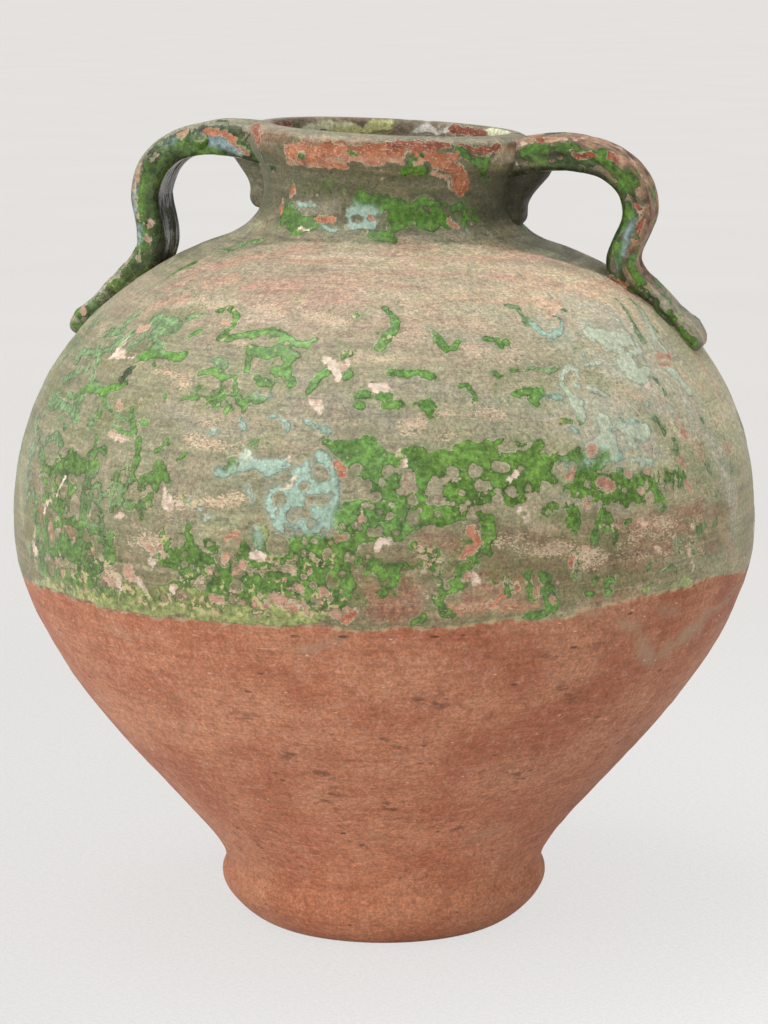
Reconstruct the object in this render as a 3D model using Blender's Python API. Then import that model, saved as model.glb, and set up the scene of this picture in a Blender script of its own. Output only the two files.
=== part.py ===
"""Two-handled earthenware storage jar, built from the clay pieces that a potter joins.

The jar stands on the XY plane and its axis is +Z. The handles lie along X, the wider
one on +X. Sizes are in metres. The neck leans a little towards +X, as fired.
"""

import math
from collections import namedtuple

import bmesh
import bpy
from mathutils import Matrix, Vector
from mathutils.geometry import interpolate_bezier

# Height of the jar from the ground to the lip's crest, before the neck leans
JAR_HEIGHT = 0.4000

# Luted joints: the gap left between two clay pieces
SEAM_GAP = 0.0003

# Foot: a flat floor with a rolled edge, which ends at the groove under the wall
FOOT_CONTACT_RADIUS = 0.0660
FOOT_ROLL_OUT = 0.0172
FOOT_ROLL_HEIGHT = 0.0210
FOOT_EDGE_RUN = 0.0045
FOOT_EDGE_RISE = 0.0020
FOOT_GROOVE_DEPTH = 0.0018
FOOT_HEIGHT = 0.0285
FLOOR_THICKNESS = 0.0120
FLOOR_CORNER_RADIUS = 0.0160

# Wall: a cone from the foot to the belly, then a round shoulder up to the neck, whose
# ellipse would reach its top at the shoulder crown's height
BELLY_RADIUS = 0.1864
BELLY_HEIGHT_SHARE = 0.50375
SHOULDER_CROWN_SHARE = 0.8900
LOWER_WALL_UPRIGHT = 0.0230
BELLY_FULLNESS = 0.0696
SHOULDER_ROUNDNESS = 2.218
WALL_AT_FOOT = 0.0115
WALL_AT_NECK = 0.0080

# Neck collar, which flares into the shoulder at its foot
NECK_RADIUS = 0.0625
NECK_FLARE_WIDTH = 0.0204
NECK_TOP_FLARE = 0.0030
NECK_FLARE_HEIGHT = 0.0230

# Lip: an overhanging band, with a crest on its inner side
LIP_OVERHANG = 0.0037
LIP_BAND_HEIGHT = 0.0100
LIP_HEIGHT = 0.0138
LIP_EDGE_ROUND = 0.0025
LIP_CREST_INSET = 0.0080
LIP_CREST_FLAT = 0.0030
LIP_INNER_DROP = 0.0060

# Handles: pulled straps from the lip to the shoulder, each with a tail along the wall
STRAP_ROOT_INSET = 0.0045
STRAP_ROOT_DROP = 0.0125
STRAP_ARCH_REACH_SHARE = 0.71
STRAP_ARCH_DROP_SHARE = 0.80
LEFT_ARCH_RISE = 0.0090
LEFT_SIDE_IN = 0.0065
LEFT_SIDE_DROP = 0.0390
LEFT_BACK_IN = 0.0030
RIGHT_ARCH_RISE = 0.0158
RIGHT_SIDE_IN = 0.0021
RIGHT_SIDE_DROP = 0.0370
RIGHT_BACK_IN = 0.0008
TAIL_START_SHARE = 0.6894
TAIL_RUN = 0.0290
TAIL_BED = 0.0016
TAIL_KNOB = 0.0018
TAIL_KNOB_LENGTH = 0.0110
TAIL_TIP_LENGTH = 0.0070
TAIL_TIP_SHARE = 0.45

# Strap leg and tail: how far the curve is drawn out of each end, in shares of its fall
LEG_DROP_SHARE = 0.40
LEG_LANDING_SHARE = 0.60

# Strap section: width and thickness from the root to the tail, with lengthwise ribs
STRAP_ROOT_WIDTH = 0.0400
STRAP_WIDTH = 0.0330
TAIL_WIDTH = 0.0300
STRAP_ROOT_THICKNESS = 0.0172
STRAP_THICKNESS = 0.0142
TAIL_THICKNESS = 0.0082
RIB_DEPTH = 0.0016
INNER_GROOVE_DEPTH = 0.0008

# Luting wads: clay pressed under each handle's root and smeared down the neck
WAD_WIDTH = 0.0300
WAD_TOP_DEPTH = 0.0200
WAD_STEP_DEPTH = 0.0078
LEFT_WAD_HEIGHT = 0.0300
RIGHT_WAD_HEIGHT = 0.0340

# Pellet: a ringed boss on the left handle's front edge
PELLET_RADIUS = 0.0042
PELLET_HEIGHT = 0.0022
PELLET_DISH_DEPTH = 0.0010
PELLET_ALONG = 0.0330
PELLET_TILT = math.radians(30)

# Lean of the neck, which the kiln gave: a sideways shift and a tilt towards +X
LEAN_SHIFT = 0.0030
LEAN_TILT = math.radians(2.7)
LEAN_RUN = 0.0900
LEAN_HALF_WIDTH = 0.0750
LEAN_FADE = 0.0200

# Fineness of the solids
SIDES = 60
RUN_ON = 0.0100

# Radii and heights that follow from the sizes above
FOOT_ROLL_RADIUS = FOOT_CONTACT_RADIUS + FOOT_ROLL_OUT
FOOT_GROOVE_RADIUS = FOOT_ROLL_RADIUS - FOOT_GROOVE_DEPTH
BELLY_HEIGHT = JAR_HEIGHT * BELLY_HEIGHT_SHARE
SHOULDER_RISE = JAR_HEIGHT * SHOULDER_CROWN_SHARE - BELLY_HEIGHT
LIP_TOP = JAR_HEIGHT
LIP_BOTTOM = LIP_TOP - LIP_HEIGHT
NECK_FOOT_RADIUS = NECK_RADIUS + NECK_FLARE_WIDTH
NECK_TOP_RADIUS = NECK_RADIUS + NECK_TOP_FLARE
LIP_RADIUS = NECK_TOP_RADIUS + LIP_OVERHANG
LIP_CREST_RADIUS = LIP_RADIUS - LIP_CREST_INSET
TAIL_START_RADIUS = BELLY_RADIUS * TAIL_START_SHARE

Strap = namedtuple("Strap", "reach side_drop arch_rise back_in wad_height")
LEFT_STRAP = Strap(
    TAIL_START_RADIUS - LEFT_SIDE_IN, LEFT_SIDE_DROP, LEFT_ARCH_RISE, LEFT_BACK_IN, LEFT_WAD_HEIGHT
)
RIGHT_STRAP = Strap(
    TAIL_START_RADIUS - RIGHT_SIDE_IN, RIGHT_SIDE_DROP, RIGHT_ARCH_RISE, RIGHT_BACK_IN, RIGHT_WAD_HEIGHT
)


def bezier(start, start_pull, end_pull, end, count):
    """Points on a cubic curve from start to end, pulled towards two handles."""
    return interpolate_bezier(Vector(start), Vector(start_pull), Vector(end_pull), Vector(end), count)


def shoulder_height(radius):
    """Height of the shoulder's outer side at a radius, on a superellipse."""
    share = 1 - (radius / BELLY_RADIUS) ** SHOULDER_ROUNDNESS
    return BELLY_HEIGHT + SHOULDER_RISE * share ** (1 / SHOULDER_ROUNDNESS)


def shoulder_radius(height):
    """Radius of the shoulder's outer side at a height, on the same superellipse."""
    share = 1 - ((height - BELLY_HEIGHT) / SHOULDER_RISE) ** SHOULDER_ROUNDNESS
    return BELLY_RADIUS * share ** (1 / SHOULDER_ROUNDNESS)


NECK_FOOT_HEIGHT = shoulder_height(NECK_FOOT_RADIUS)


def foot_outline():
    """Outer side of the foot, from the ground up to the groove."""
    roll = bezier(
        (FOOT_CONTACT_RADIUS, 0),
        (FOOT_CONTACT_RADIUS + FOOT_EDGE_RUN, FOOT_EDGE_RISE),
        (FOOT_ROLL_RADIUS, FOOT_ROLL_HEIGHT * 0.55),
        (FOOT_ROLL_RADIUS, FOOT_ROLL_HEIGHT),
        6,
    )
    groove = bezier(
        (FOOT_ROLL_RADIUS, FOOT_ROLL_HEIGHT),
        (FOOT_ROLL_RADIUS, (FOOT_ROLL_HEIGHT + FOOT_HEIGHT) / 2),
        (FOOT_GROOVE_RADIUS, (FOOT_ROLL_HEIGHT + FOOT_HEIGHT) / 2),
        (FOOT_GROOVE_RADIUS, FOOT_HEIGHT),
        4,
    )
    return roll + groove[1:]


def lower_wall_outline():
    """Outer side of the wall from the groove to the belly, upright at both ends."""
    return bezier(
        (FOOT_GROOVE_RADIUS, FOOT_HEIGHT),
        (FOOT_GROOVE_RADIUS, FOOT_HEIGHT + LOWER_WALL_UPRIGHT),
        (BELLY_RADIUS, BELLY_HEIGHT - BELLY_FULLNESS),
        (BELLY_RADIUS, BELLY_HEIGHT),
        10,
    )


def shoulder_outline():
    """Outer side of the shoulder from the belly to the neck's foot."""
    top_angle = math.asin(((NECK_FOOT_HEIGHT - BELLY_HEIGHT) / SHOULDER_RISE) ** (SHOULDER_ROUNDNESS / 2))
    steps = 12
    outline = []
    for step in range(steps + 1):
        angle = top_angle * step / steps
        height = BELLY_HEIGHT + SHOULDER_RISE * math.sin(angle) ** (2 / SHOULDER_ROUNDNESS)
        outline.append(Vector((shoulder_radius(height), height)))
    return outline


def neck_outline():
    """Outer side of the neck: the flare out of the shoulder, then the collar."""
    slope = (shoulder_radius(NECK_FOOT_HEIGHT - 0.001) - NECK_FOOT_RADIUS) / 0.001
    fall = (NECK_FOOT_RADIUS - NECK_RADIUS) * 0.65
    flare_top = NECK_FOOT_HEIGHT + NECK_FLARE_HEIGHT
    flare = bezier(
        (NECK_FOOT_RADIUS, NECK_FOOT_HEIGHT),
        (NECK_FOOT_RADIUS - fall, NECK_FOOT_HEIGHT + fall / slope),
        (NECK_RADIUS, flare_top - NECK_FLARE_HEIGHT * 0.45),
        (NECK_RADIUS, flare_top),
        6,
    )
    collar = bezier(
        (NECK_RADIUS, flare_top),
        (NECK_RADIUS, (flare_top + LIP_BOTTOM) / 2),
        (NECK_TOP_RADIUS, (flare_top + LIP_BOTTOM) / 2),
        (NECK_TOP_RADIUS, LIP_BOTTOM),
        4,
    )
    return flare + collar[1:]


def wall_outline():
    """Outer side of the whole wall, run on a little past the foot's and lip's seams."""
    start = Vector((FOOT_GROOVE_RADIUS, FOOT_HEIGHT - RUN_ON))
    end = Vector((NECK_TOP_RADIUS, LIP_BOTTOM + RUN_ON))
    return [start] + lower_wall_outline() + shoulder_outline()[1:] + neck_outline()[1:] + [end]


def wall_thickness(height):
    """Thickness of the wall, which thins evenly from the foot to the lip."""
    share = (height - FOOT_HEIGHT) / (LIP_BOTTOM - FOOT_HEIGHT)
    return WALL_AT_FOOT + (WALL_AT_NECK - WALL_AT_FOOT) * min(max(share, 0), 1)


def offset_outline(outline, distance_at):
    """The outline moved square to itself; a positive distance moves it away from the axis."""
    moved = []
    for index, point in enumerate(outline):
        before = outline[max(index - 1, 0)]
        after = outline[min(index + 1, len(outline) - 1)]
        along = (after - before).normalized()
        outward = Vector((along.y, -along.x))
        moved.append(point + outward * distance_at(point.y))
    return moved


def radius_at(outline, height):
    """Radius of an outline at a height between its ends."""
    for low, high in zip(outline, outline[1:]):
        if low.y <= height <= high.y:
            share = (height - low.y) / max(high.y - low.y, 1e-9)
            return low.x + (high.x - low.x) * share
    return outline[-1].x


def slice_outline(outline, low, high):
    """The part of an outline between two heights, with a point at each."""
    inside = [point for point in outline if low + 1e-5 < point.y < high - 1e-5]
    first = Vector((radius_at(outline, low), low))
    last = Vector((radius_at(outline, high), high))
    return [first] + inside + [last]


OUTER_WALL = wall_outline()
INNER_WALL = offset_outline(OUTER_WALL, lambda height: -wall_thickness(height))


def lip_outer_outline():
    """Outer side of the lip, from its underside round the band to the crest."""
    edge = LIP_RADIUS - LIP_EDGE_ROUND
    outline = []
    for step in range(4):
        angle = math.radians(-90 + 30 * step)
        across = edge + LIP_EDGE_ROUND * math.cos(angle)
        up = LIP_BOTTOM + LIP_EDGE_ROUND * (1 + math.sin(angle))
        outline.append(Vector((across, up)))
    crest = LIP_CREST_RADIUS + LIP_CREST_FLAT / 2
    slope = bezier(
        (LIP_RADIUS, LIP_BOTTOM + LIP_BAND_HEIGHT),
        (LIP_RADIUS, LIP_TOP - (LIP_HEIGHT - LIP_BAND_HEIGHT) * 0.45),
        (crest + (LIP_RADIUS - crest) * 0.30, LIP_TOP),
        (crest, LIP_TOP),
        4,
    )
    return outline + slope


def lip_inner_outline():
    """Inner side of the lip, from the crest down to the seam on the neck."""
    bottom_radius = radius_at(INNER_WALL, LIP_BOTTOM)
    crest = LIP_CREST_RADIUS - LIP_CREST_FLAT / 2
    turn = bezier(
        (crest, LIP_TOP),
        (bottom_radius + (crest - bottom_radius) * 0.30, LIP_TOP),
        (bottom_radius, LIP_TOP - LIP_INNER_DROP * 0.40),
        (bottom_radius, LIP_TOP - LIP_INNER_DROP),
        4,
    )
    return turn + [Vector((bottom_radius, LIP_BOTTOM + SEAM_GAP / 2))]


def make_object(name, mesh_builder, smooth_angle=40):
    """A new object from a bmesh, with smooth sides and sharp seams."""
    bmesh.ops.remove_doubles(mesh_builder, verts=mesh_builder.verts, dist=1e-6)
    bmesh.ops.recalc_face_normals(mesh_builder, faces=mesh_builder.faces)
    mesh = bpy.data.meshes.new(name)
    mesh_builder.to_mesh(mesh)
    mesh_builder.free()
    mesh.shade_smooth()
    mesh.set_sharp_from_angle(angle=math.radians(smooth_angle))
    item = bpy.data.objects.new(name, mesh)
    bpy.context.collection.objects.link(item)
    return item


def turned(name, section, closed=True):
    """A solid of revolution about Z from a section of (radius, height) points."""
    builder = bmesh.new()
    verts = [builder.verts.new((point.x, 0, point.y)) for point in section]
    pairs = list(zip(verts, verts[1:]))
    if closed:
        pairs.append((verts[-1], verts[0]))
    edges = [builder.edges.new(pair) for pair in pairs]
    bmesh.ops.spin(
        builder,
        geom=verts + edges,
        cent=(0, 0, 0),
        axis=(0, 0, 1),
        angle=math.tau,
        steps=SIDES,
        use_duplicate=False,
    )
    return make_object(name, builder)


def ring_piece(name, low, high):
    """A stretch of the jar's wall between two seams."""
    outer = slice_outline(OUTER_WALL, low + SEAM_GAP / 2, high - SEAM_GAP / 2)
    inner = slice_outline(INNER_WALL, low + SEAM_GAP / 2, high - SEAM_GAP / 2)
    return turned(name, outer + inner[::-1])


def make_foot():
    """The floor and its rolled edge, up to the groove."""
    outer = foot_outline()
    outer[-1] = Vector((FOOT_GROOVE_RADIUS, FOOT_HEIGHT - SEAM_GAP / 2))
    top_radius = radius_at(INNER_WALL, FOOT_HEIGHT)
    corner = bezier(
        (top_radius, FOOT_HEIGHT - SEAM_GAP / 2),
        (top_radius, FLOOR_THICKNESS + (FOOT_HEIGHT - FLOOR_THICKNESS) * 0.4),
        (top_radius - FLOOR_CORNER_RADIUS * 0.4, FLOOR_THICKNESS),
        (top_radius - FLOOR_CORNER_RADIUS, FLOOR_THICKNESS),
        5,
    )
    axis_top = Vector((0, FLOOR_THICKNESS))
    axis_bottom = Vector((0, 0))
    return turned("foot_base", [axis_bottom] + outer + corner + [axis_top], closed=False)


def make_lip():
    """The overhanging lip, seated on the neck's top."""
    outer = lip_outer_outline()
    inner = lip_inner_outline()
    outer[0] = Vector((outer[0].x, LIP_BOTTOM + SEAM_GAP / 2))
    return turned("rim_lip", outer + inner)


def make_jar_cutter():
    """The jar's outer form grown by the seam gap, which trims what is luted onto it."""
    outline = OUTER_WALL[1:-1] + lip_outer_outline()
    outline = offset_outline(outline, lambda height: SEAM_GAP)
    section = [Vector((0, FOOT_HEIGHT))] + outline + [Vector((0, outline[-1].y))]
    cutter = turned("jar_cutter", section, closed=False)
    cutter.hide_render = True
    cutter.display_type = "WIRE"
    return cutter


def blend(start, end, share):
    """A value between two, eased at both ends."""
    share = min(max(share, 0), 1)
    return start + (end - start) * share * share * (3 - 2 * share)


def tail_point(radius):
    """Middle of the strap where it lies on the shoulder at a radius, and its direction."""
    step = 0.0005
    fall = shoulder_height(radius - step) - shoulder_height(radius + step)
    along = Vector((2 * step, -fall)).normalized()
    outward = Vector((-along.y, along.x))
    surface = Vector((radius, shoulder_height(radius)))
    return surface + outward * (TAIL_THICKNESS / 2 - TAIL_BED), along


def strap_path(strap):
    """Middle line of a handle in (distance from the axis, height), root first."""
    root = Vector((NECK_RADIUS - STRAP_ROOT_INSET, LIP_TOP - STRAP_ROOT_DROP))
    side = Vector((strap.reach, LIP_TOP - strap.side_drop))
    landing, landing_along = tail_point(TAIL_START_RADIUS)
    arch = bezier(
        root,
        root + Vector(((strap.reach - root.x) * STRAP_ARCH_REACH_SHARE, strap.arch_rise)),
        side + Vector((0, (root.y - side.y) * STRAP_ARCH_DROP_SHARE)),
        side,
        12,
    )
    fall = side.y - landing.y
    leg = bezier(
        side,
        side - Vector((strap.back_in, fall * LEG_DROP_SHARE)),
        landing - landing_along * fall * LEG_LANDING_SHARE,
        landing,
        8,
    )
    tail = []
    steps = 6
    for step in range(1, steps + 1):
        radius = TAIL_START_RADIUS + TAIL_RUN * step / steps
        tail.append(tail_point(radius)[0])
    return arch + leg[1:] + tail


def strap_section(width, thickness, rib_depth, groove_depth):
    """Section of a strap as (across, outward) points, ribbed on its outer face."""
    points = []
    flat = 0.8
    rib_pitch = 0.8
    outer_steps = 8
    for step in range(outer_steps + 1):
        across = -flat + 2 * flat * step / outer_steps
        rib = rib_depth * (math.cos(math.tau * across / rib_pitch) - 1) / 2
        points.append((across * width / 2, thickness / 2 + rib))
    for angle in (45, 0, -45):
        turn = math.radians(angle)
        across = flat + (1 - flat) * math.cos(turn)
        points.append((across * width / 2, thickness / 2 * math.sin(turn)))
    inner_steps = 4
    for step in range(inner_steps + 1):
        across = flat - 2 * flat * step / inner_steps
        groove = groove_depth * (1 + math.cos(math.pi * across / flat)) / 2
        points.append((across * width / 2, groove - thickness / 2))
    for angle in (-45, 0, 45):
        turn = math.radians(angle)
        across = flat + (1 - flat) * math.cos(turn)
        points.append((-across * width / 2, thickness / 2 * math.sin(turn)))
    return points


def strap_rings(strap, grow):
    """Section rings along a handle on +X, each swollen by the grow distance."""
    path = strap_path(strap)
    distance = [0]
    for before, after in zip(path, path[1:]):
        distance.append(distance[-1] + (after - before).length)
    length = distance[-1]
    root_run = strap.reach - NECK_RADIUS
    rings = []
    for index, point in enumerate(path):
        before = path[max(index - 1, 0)]
        after = path[min(index + 1, len(path) - 1)]
        along = (after - before).normalized()
        outward = Vector((-along.y, along.x))
        left = length - distance[index]
        width = blend(STRAP_ROOT_WIDTH, STRAP_WIDTH, distance[index] / root_run)
        width = blend(TAIL_WIDTH, width, left / (2 * TAIL_RUN))
        thickness = blend(STRAP_ROOT_THICKNESS, STRAP_THICKNESS, distance[index] / root_run)
        thickness = blend(TAIL_THICKNESS, thickness, (left - TAIL_RUN / 2) / (1.5 * TAIL_RUN))
        thickness += 2 * TAIL_KNOB * max(1 - abs(left / TAIL_KNOB_LENGTH - 1), 0)
        tip = min(left / TAIL_TIP_LENGTH, 1)
        round_off = TAIL_TIP_SHARE + (1 - TAIL_TIP_SHARE) * math.sqrt(1 - (1 - tip) ** 2)
        section = strap_section(
            width * round_off + 2 * grow,
            thickness * round_off + 2 * grow,
            RIB_DEPTH * min(left / TAIL_RUN, 1),
            INNER_GROOVE_DEPTH,
        )
        ring = []
        for across, out in section:
            middle = point + outward * out
            ring.append(Vector((middle.x, across, middle.y)))
        rings.append(ring)
    return rings


def lofted(name, rings):
    """A closed solid through a row of rings that have the same number of points."""
    builder = bmesh.new()
    loops = [[builder.verts.new(point) for point in ring] for ring in rings]
    count = len(rings[0])
    for first, second in zip(loops, loops[1:]):
        for index in range(count):
            following = (index + 1) % count
            builder.faces.new((first[index], first[following], second[following], second[index]))
    builder.faces.new(loops[0][::-1])
    builder.faces.new(loops[-1])
    return make_object(name, builder)


def trim(item, *cutters):
    """Cut the cutters out of an object and keep the result as its mesh."""
    for cutter in cutters:
        modifier = item.modifiers.new("trim_" + cutter.name, "BOOLEAN")
        modifier.operation = "DIFFERENCE"
        modifier.solver = "EXACT"
        modifier.object = cutter
    bpy.context.view_layer.update()
    graph = bpy.context.evaluated_depsgraph_get()
    mesh = bpy.data.meshes.new_from_object(item.evaluated_get(graph))
    item.modifiers.clear()
    item.data = mesh


def turn_to_left(item):
    """Turn a piece that was made on +X half way round the axis, to -X."""
    item.data.transform(Matrix.Rotation(math.pi, 4, "Z"))


def make_handle(name, strap, jar_cutter):
    """A strap handle on +X, trimmed to the lip and the shoulder that carry it."""
    handle = lofted(name, strap_rings(strap, 0))
    trim(handle, jar_cutter)
    return handle


def make_wad(name, strap, jar_cutter):
    """Clay pressed into the corner under a handle's root, stepped at its lower end."""
    top = LIP_TOP - STRAP_ROOT_DROP
    bottom = top - strap.wad_height
    inner = NECK_RADIUS - 0.6 * WALL_AT_NECK
    rings = []
    steps = 10
    for step in range(steps + 1):
        share = step / steps
        level = bottom + (top - bottom) * share
        swell = math.sqrt(1 - (1 - min(share / 0.18, 1)) ** 2)
        depth = blend(WAD_STEP_DEPTH, WAD_TOP_DEPTH, (share - 0.3) / 0.7)
        half_width = WAD_WIDTH / 2 * (0.70 + 0.30 * share)
        front = NECK_RADIUS + depth * (0.25 + 0.75 * swell)
        ring = []
        for turn_step in range(9):
            turn = math.pi * (turn_step / 8 - 0.5)
            across = half_width * math.sin(turn)
            out = inner + (front - inner) * math.cos(turn) ** 0.5 if abs(turn) < 1.57 else inner
            ring.append(Vector((out, across, level)))
        rings.append(ring)
    wad = lofted(name, rings)
    strap_cutter = lofted("strap_cutter", strap_rings(strap, SEAM_GAP))
    trim(wad, jar_cutter, strap_cutter)
    bpy.data.objects.remove(strap_cutter)
    return wad


def make_pellet(name, strap):
    """A ringed boss with a dished middle, seated on the front edge of a strap on +X."""
    rings = strap_rings(strap, 0)
    path = strap_path(strap)
    travelled = 0
    index = 0
    while travelled < PELLET_ALONG:
        travelled += (path[index + 1] - path[index]).length
        index += 1
    edge = max(rings[index], key=lambda point: point.y)
    out = Vector((0, math.cos(PELLET_TILT), math.sin(PELLET_TILT)))
    sink = STRAP_THICKNESS / 4
    profile = [
        (0, -sink),
        (PELLET_RADIUS, -sink),
        (PELLET_RADIUS, PELLET_HEIGHT * 0.5),
        (PELLET_RADIUS * 0.8, PELLET_HEIGHT),
        (PELLET_RADIUS * 0.6, PELLET_HEIGHT),
        (PELLET_RADIUS * 0.3, PELLET_HEIGHT - PELLET_DISH_DEPTH),
        (0, PELLET_HEIGHT - PELLET_DISH_DEPTH),
    ]
    builder = bmesh.new()
    verts = [builder.verts.new((across, 0, up)) for across, up in profile]
    edges = [builder.edges.new(pair) for pair in zip(verts, verts[1:])]
    bmesh.ops.spin(builder, geom=verts + edges, cent=(0, 0, 0), axis=(0, 0, 1), angle=math.tau, steps=16)
    turn = out.to_track_quat("Z", "X")
    bmesh.ops.transform(builder, matrix=turn.to_matrix().to_4x4(), verts=builder.verts)
    bmesh.ops.translate(builder, vec=edge, verts=builder.verts)
    pellet = make_object(name, builder)
    strap_cutter = lofted("strap_cutter", strap_rings(strap, SEAM_GAP))
    trim(pellet, strap_cutter)
    bpy.data.objects.remove(strap_cutter)
    return pellet


def lean(point):
    """Where a point of the straight jar lies once the neck leans."""
    share = blend(0, 1, (point.z - (LIP_TOP - LEAN_RUN)) / (LEAN_RUN - LIP_HEIGHT / 2))
    beyond = max(abs(point.x) - LEAN_HALF_WIDTH, 0)
    arm = min(abs(point.x), LEAN_HALF_WIDTH) + LEAN_FADE * math.tanh(beyond / LEAN_FADE)
    arm = math.copysign(arm, point.x)
    drop = arm * math.sin(LEAN_TILT) * share
    return Vector((point.x + LEAN_SHIFT * share, point.y, point.z - drop))


def paint(item, colour, roughness):
    """Give an object its own material."""
    material = bpy.data.materials.new(item.name + "_material")
    material.use_nodes = True
    shader = material.node_tree.nodes["Principled BSDF"]
    shader.inputs["Base Color"].default_value = (*colour, 1)
    shader.inputs["Roughness"].default_value = roughness
    shader.inputs["Metallic"].default_value = 0
    material.diffuse_color = (*colour, 1)
    item.data.materials.clear()
    item.data.materials.append(material)


TERRACOTTA = (0.45, 0.19, 0.11)
WORN_GLAZE = (0.27, 0.25, 0.16)
DARK_GLAZE = (0.14, 0.16, 0.09)
GREEN_GLAZE = (0.06, 0.17, 0.04)


def build():
    """Make every piece of the jar, lean the neck and remove the cutters."""
    for item in list(bpy.data.objects):
        bpy.data.objects.remove(item)

    jar_cutter = make_jar_cutter()
    foot = make_foot()
    lower_wall = ring_piece("lower_wall", FOOT_HEIGHT, BELLY_HEIGHT)
    upper_wall = ring_piece("upper_wall", BELLY_HEIGHT, NECK_FOOT_HEIGHT)
    neck = ring_piece("neck_collar", NECK_FOOT_HEIGHT, LIP_BOTTOM)
    lip = make_lip()
    pieces = [foot, lower_wall, upper_wall, neck, lip]
    paints = [
        (TERRACOTTA, 0.85),
        (TERRACOTTA, 0.85),
        (WORN_GLAZE, 0.60),
        (DARK_GLAZE, 0.55),
        (TERRACOTTA, 0.70),
    ]
    for side, strap in (("left", LEFT_STRAP), ("right", RIGHT_STRAP)):
        handle = make_handle(side + "_handle", strap, jar_cutter)
        wad = make_wad(side + "_luting_wad", strap, jar_cutter)
        if side == "left":
            turn_to_left(handle)
            turn_to_left(wad)
        pieces += [handle, wad]
        paints += [(GREEN_GLAZE, 0.25), (DARK_GLAZE, 0.45)]
    pellet = make_pellet("left_handle_pellet", LEFT_STRAP)
    turn_to_left(pellet)
    pieces.append(pellet)
    paints.append((GREEN_GLAZE, 0.25))

    for piece, (colour, roughness) in zip(pieces, paints):
        for vert in piece.data.vertices:
            vert.co = lean(vert.co)
        paint(piece, colour, roughness)
    bpy.data.objects.remove(jar_cutter)


build()
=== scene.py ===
import itertools
import math
from collections import namedtuple
from functools import reduce
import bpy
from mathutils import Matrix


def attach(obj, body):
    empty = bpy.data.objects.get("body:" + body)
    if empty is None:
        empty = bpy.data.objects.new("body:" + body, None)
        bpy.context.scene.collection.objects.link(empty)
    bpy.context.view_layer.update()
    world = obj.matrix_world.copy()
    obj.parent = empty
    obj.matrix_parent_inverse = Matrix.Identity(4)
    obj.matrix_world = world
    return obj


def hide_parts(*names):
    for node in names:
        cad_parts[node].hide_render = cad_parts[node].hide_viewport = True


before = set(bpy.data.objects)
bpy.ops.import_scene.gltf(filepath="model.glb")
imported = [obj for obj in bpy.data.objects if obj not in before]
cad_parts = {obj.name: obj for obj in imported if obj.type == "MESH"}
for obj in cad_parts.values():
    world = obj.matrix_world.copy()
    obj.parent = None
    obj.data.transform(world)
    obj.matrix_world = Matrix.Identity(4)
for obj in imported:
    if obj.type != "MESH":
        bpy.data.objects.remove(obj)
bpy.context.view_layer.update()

from types import SimpleNamespace

import bpy
import numpy as np
from mathutils import Vector

# Sizes of the jar, in metres, as in the CAD model. A pull is how far a curve is drawn out of its end.
JAR_HEIGHT = 0.4000
FOOT_CONTACT = 0.0660
FOOT_EDGE = (0.0705, 0.0020)
FOOT_ROLL = 0.0832
FOOT_ROLL_HEIGHT = 0.0210
FOOT_ROLL_PULL = 0.00945
FOOT_GROOVE = 0.0814
FOOT_HEIGHT = 0.0285
FLOOR_TOP = 0.0120
FLOOR_CORNER = 0.0160
FLOOR_CORNER_SHARE = 0.4
LOWER_WALL_PULL = 0.0230
BELLY_RADIUS = 0.1864
BELLY_HEIGHT = 0.2015
BELLY_PULL = 0.0696
SHOULDER_RISE = 0.1545
SHOULDER_ROUNDNESS = 2.218
NECK_FOOT = 0.0829
NECK_FOOT_PULL = 0.65
NECK_RADIUS = 0.0625
NECK_TOP = 0.0655
NECK_FLARE_HEIGHT = 0.0230
NECK_FLARE_PULL = 0.01035
LIP_RADIUS = 0.0692
LIP_BOTTOM = 0.3862
LIP_BAND = 0.0100
LIP_EDGE = 0.0025
LIP_CREST = 0.0612
LIP_CREST_PULLS = (0.45, 0.30)
CREST_FLAT = 0.0030
LIP_INNER_DROP = 0.0060
LIP_INNER_PULLS = (0.3, 0.0024)
WALL_LOW = 0.0115
WALL_HIGH = 0.0080
LEAN_SHIFT = 0.0030
LEAN_TILT = math.radians(2.7)
LEAN_RUN = 0.0900
LEAN_ARM = 0.0750
LEAN_ARM_EASE = 0.0200

# Sizes of the straps, which are made on +X, as in the CAD model
STRAP_ROOT_INSET = 0.0045
STRAP_ROOT_DROP = 0.0125
ARCH_REACH_SHARE = 0.71
ARCH_DROP_SHARE = 0.80
LEG_DROP_SHARE = 0.40
LEG_LANDING_SHARE = 0.60
STRAP_WIDTHS = (0.0400, 0.0330, 0.0300)
STRAP_THICKNESSES = (0.0172, 0.0142, 0.0082)
STRAP_GROOVE = 0.0008
STRAP_STEP = 0.0009
TAIL_START = 0.1285
TAIL_END = 0.1575
TAIL_RUN = TAIL_END - TAIL_START
TAIL_LIFT = 0.0025
TAIL_KNOB = 0.0036
TAIL_KNOB_LENGTH = 0.0110
TAIL_TIP_LENGTH = 0.0070
TAIL_TIP_SHARE = 0.45
Strap = namedtuple("Strap", "reach drop arch_rise back_in rib_depth bead")
STRAPS = {
    "left": Strap(0.1220, 0.0390, 0.0090, 0.0030, 0.0013, 0.0003),
    "right": Strap(0.1264, 0.0370, 0.0158, 0.0008, 0.0016, 0.0014),
}

# Sizes of the luting wads
WAD_HEIGHTS = {"left": 0.0300, "right": 0.0340}
WAD_HALF_WIDTH = 0.0150
WAD_DEPTHS = (0.0078, 0.0200)
WAD_BED = 0.0048

# Sizes of the boss: how far it is along the strap from the root, how deep it sits, and its tilt
BOSS_PLACE = 0.0345
BOSS_SINK = 0.0006
BOSS_TILT = math.radians(30)

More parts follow.
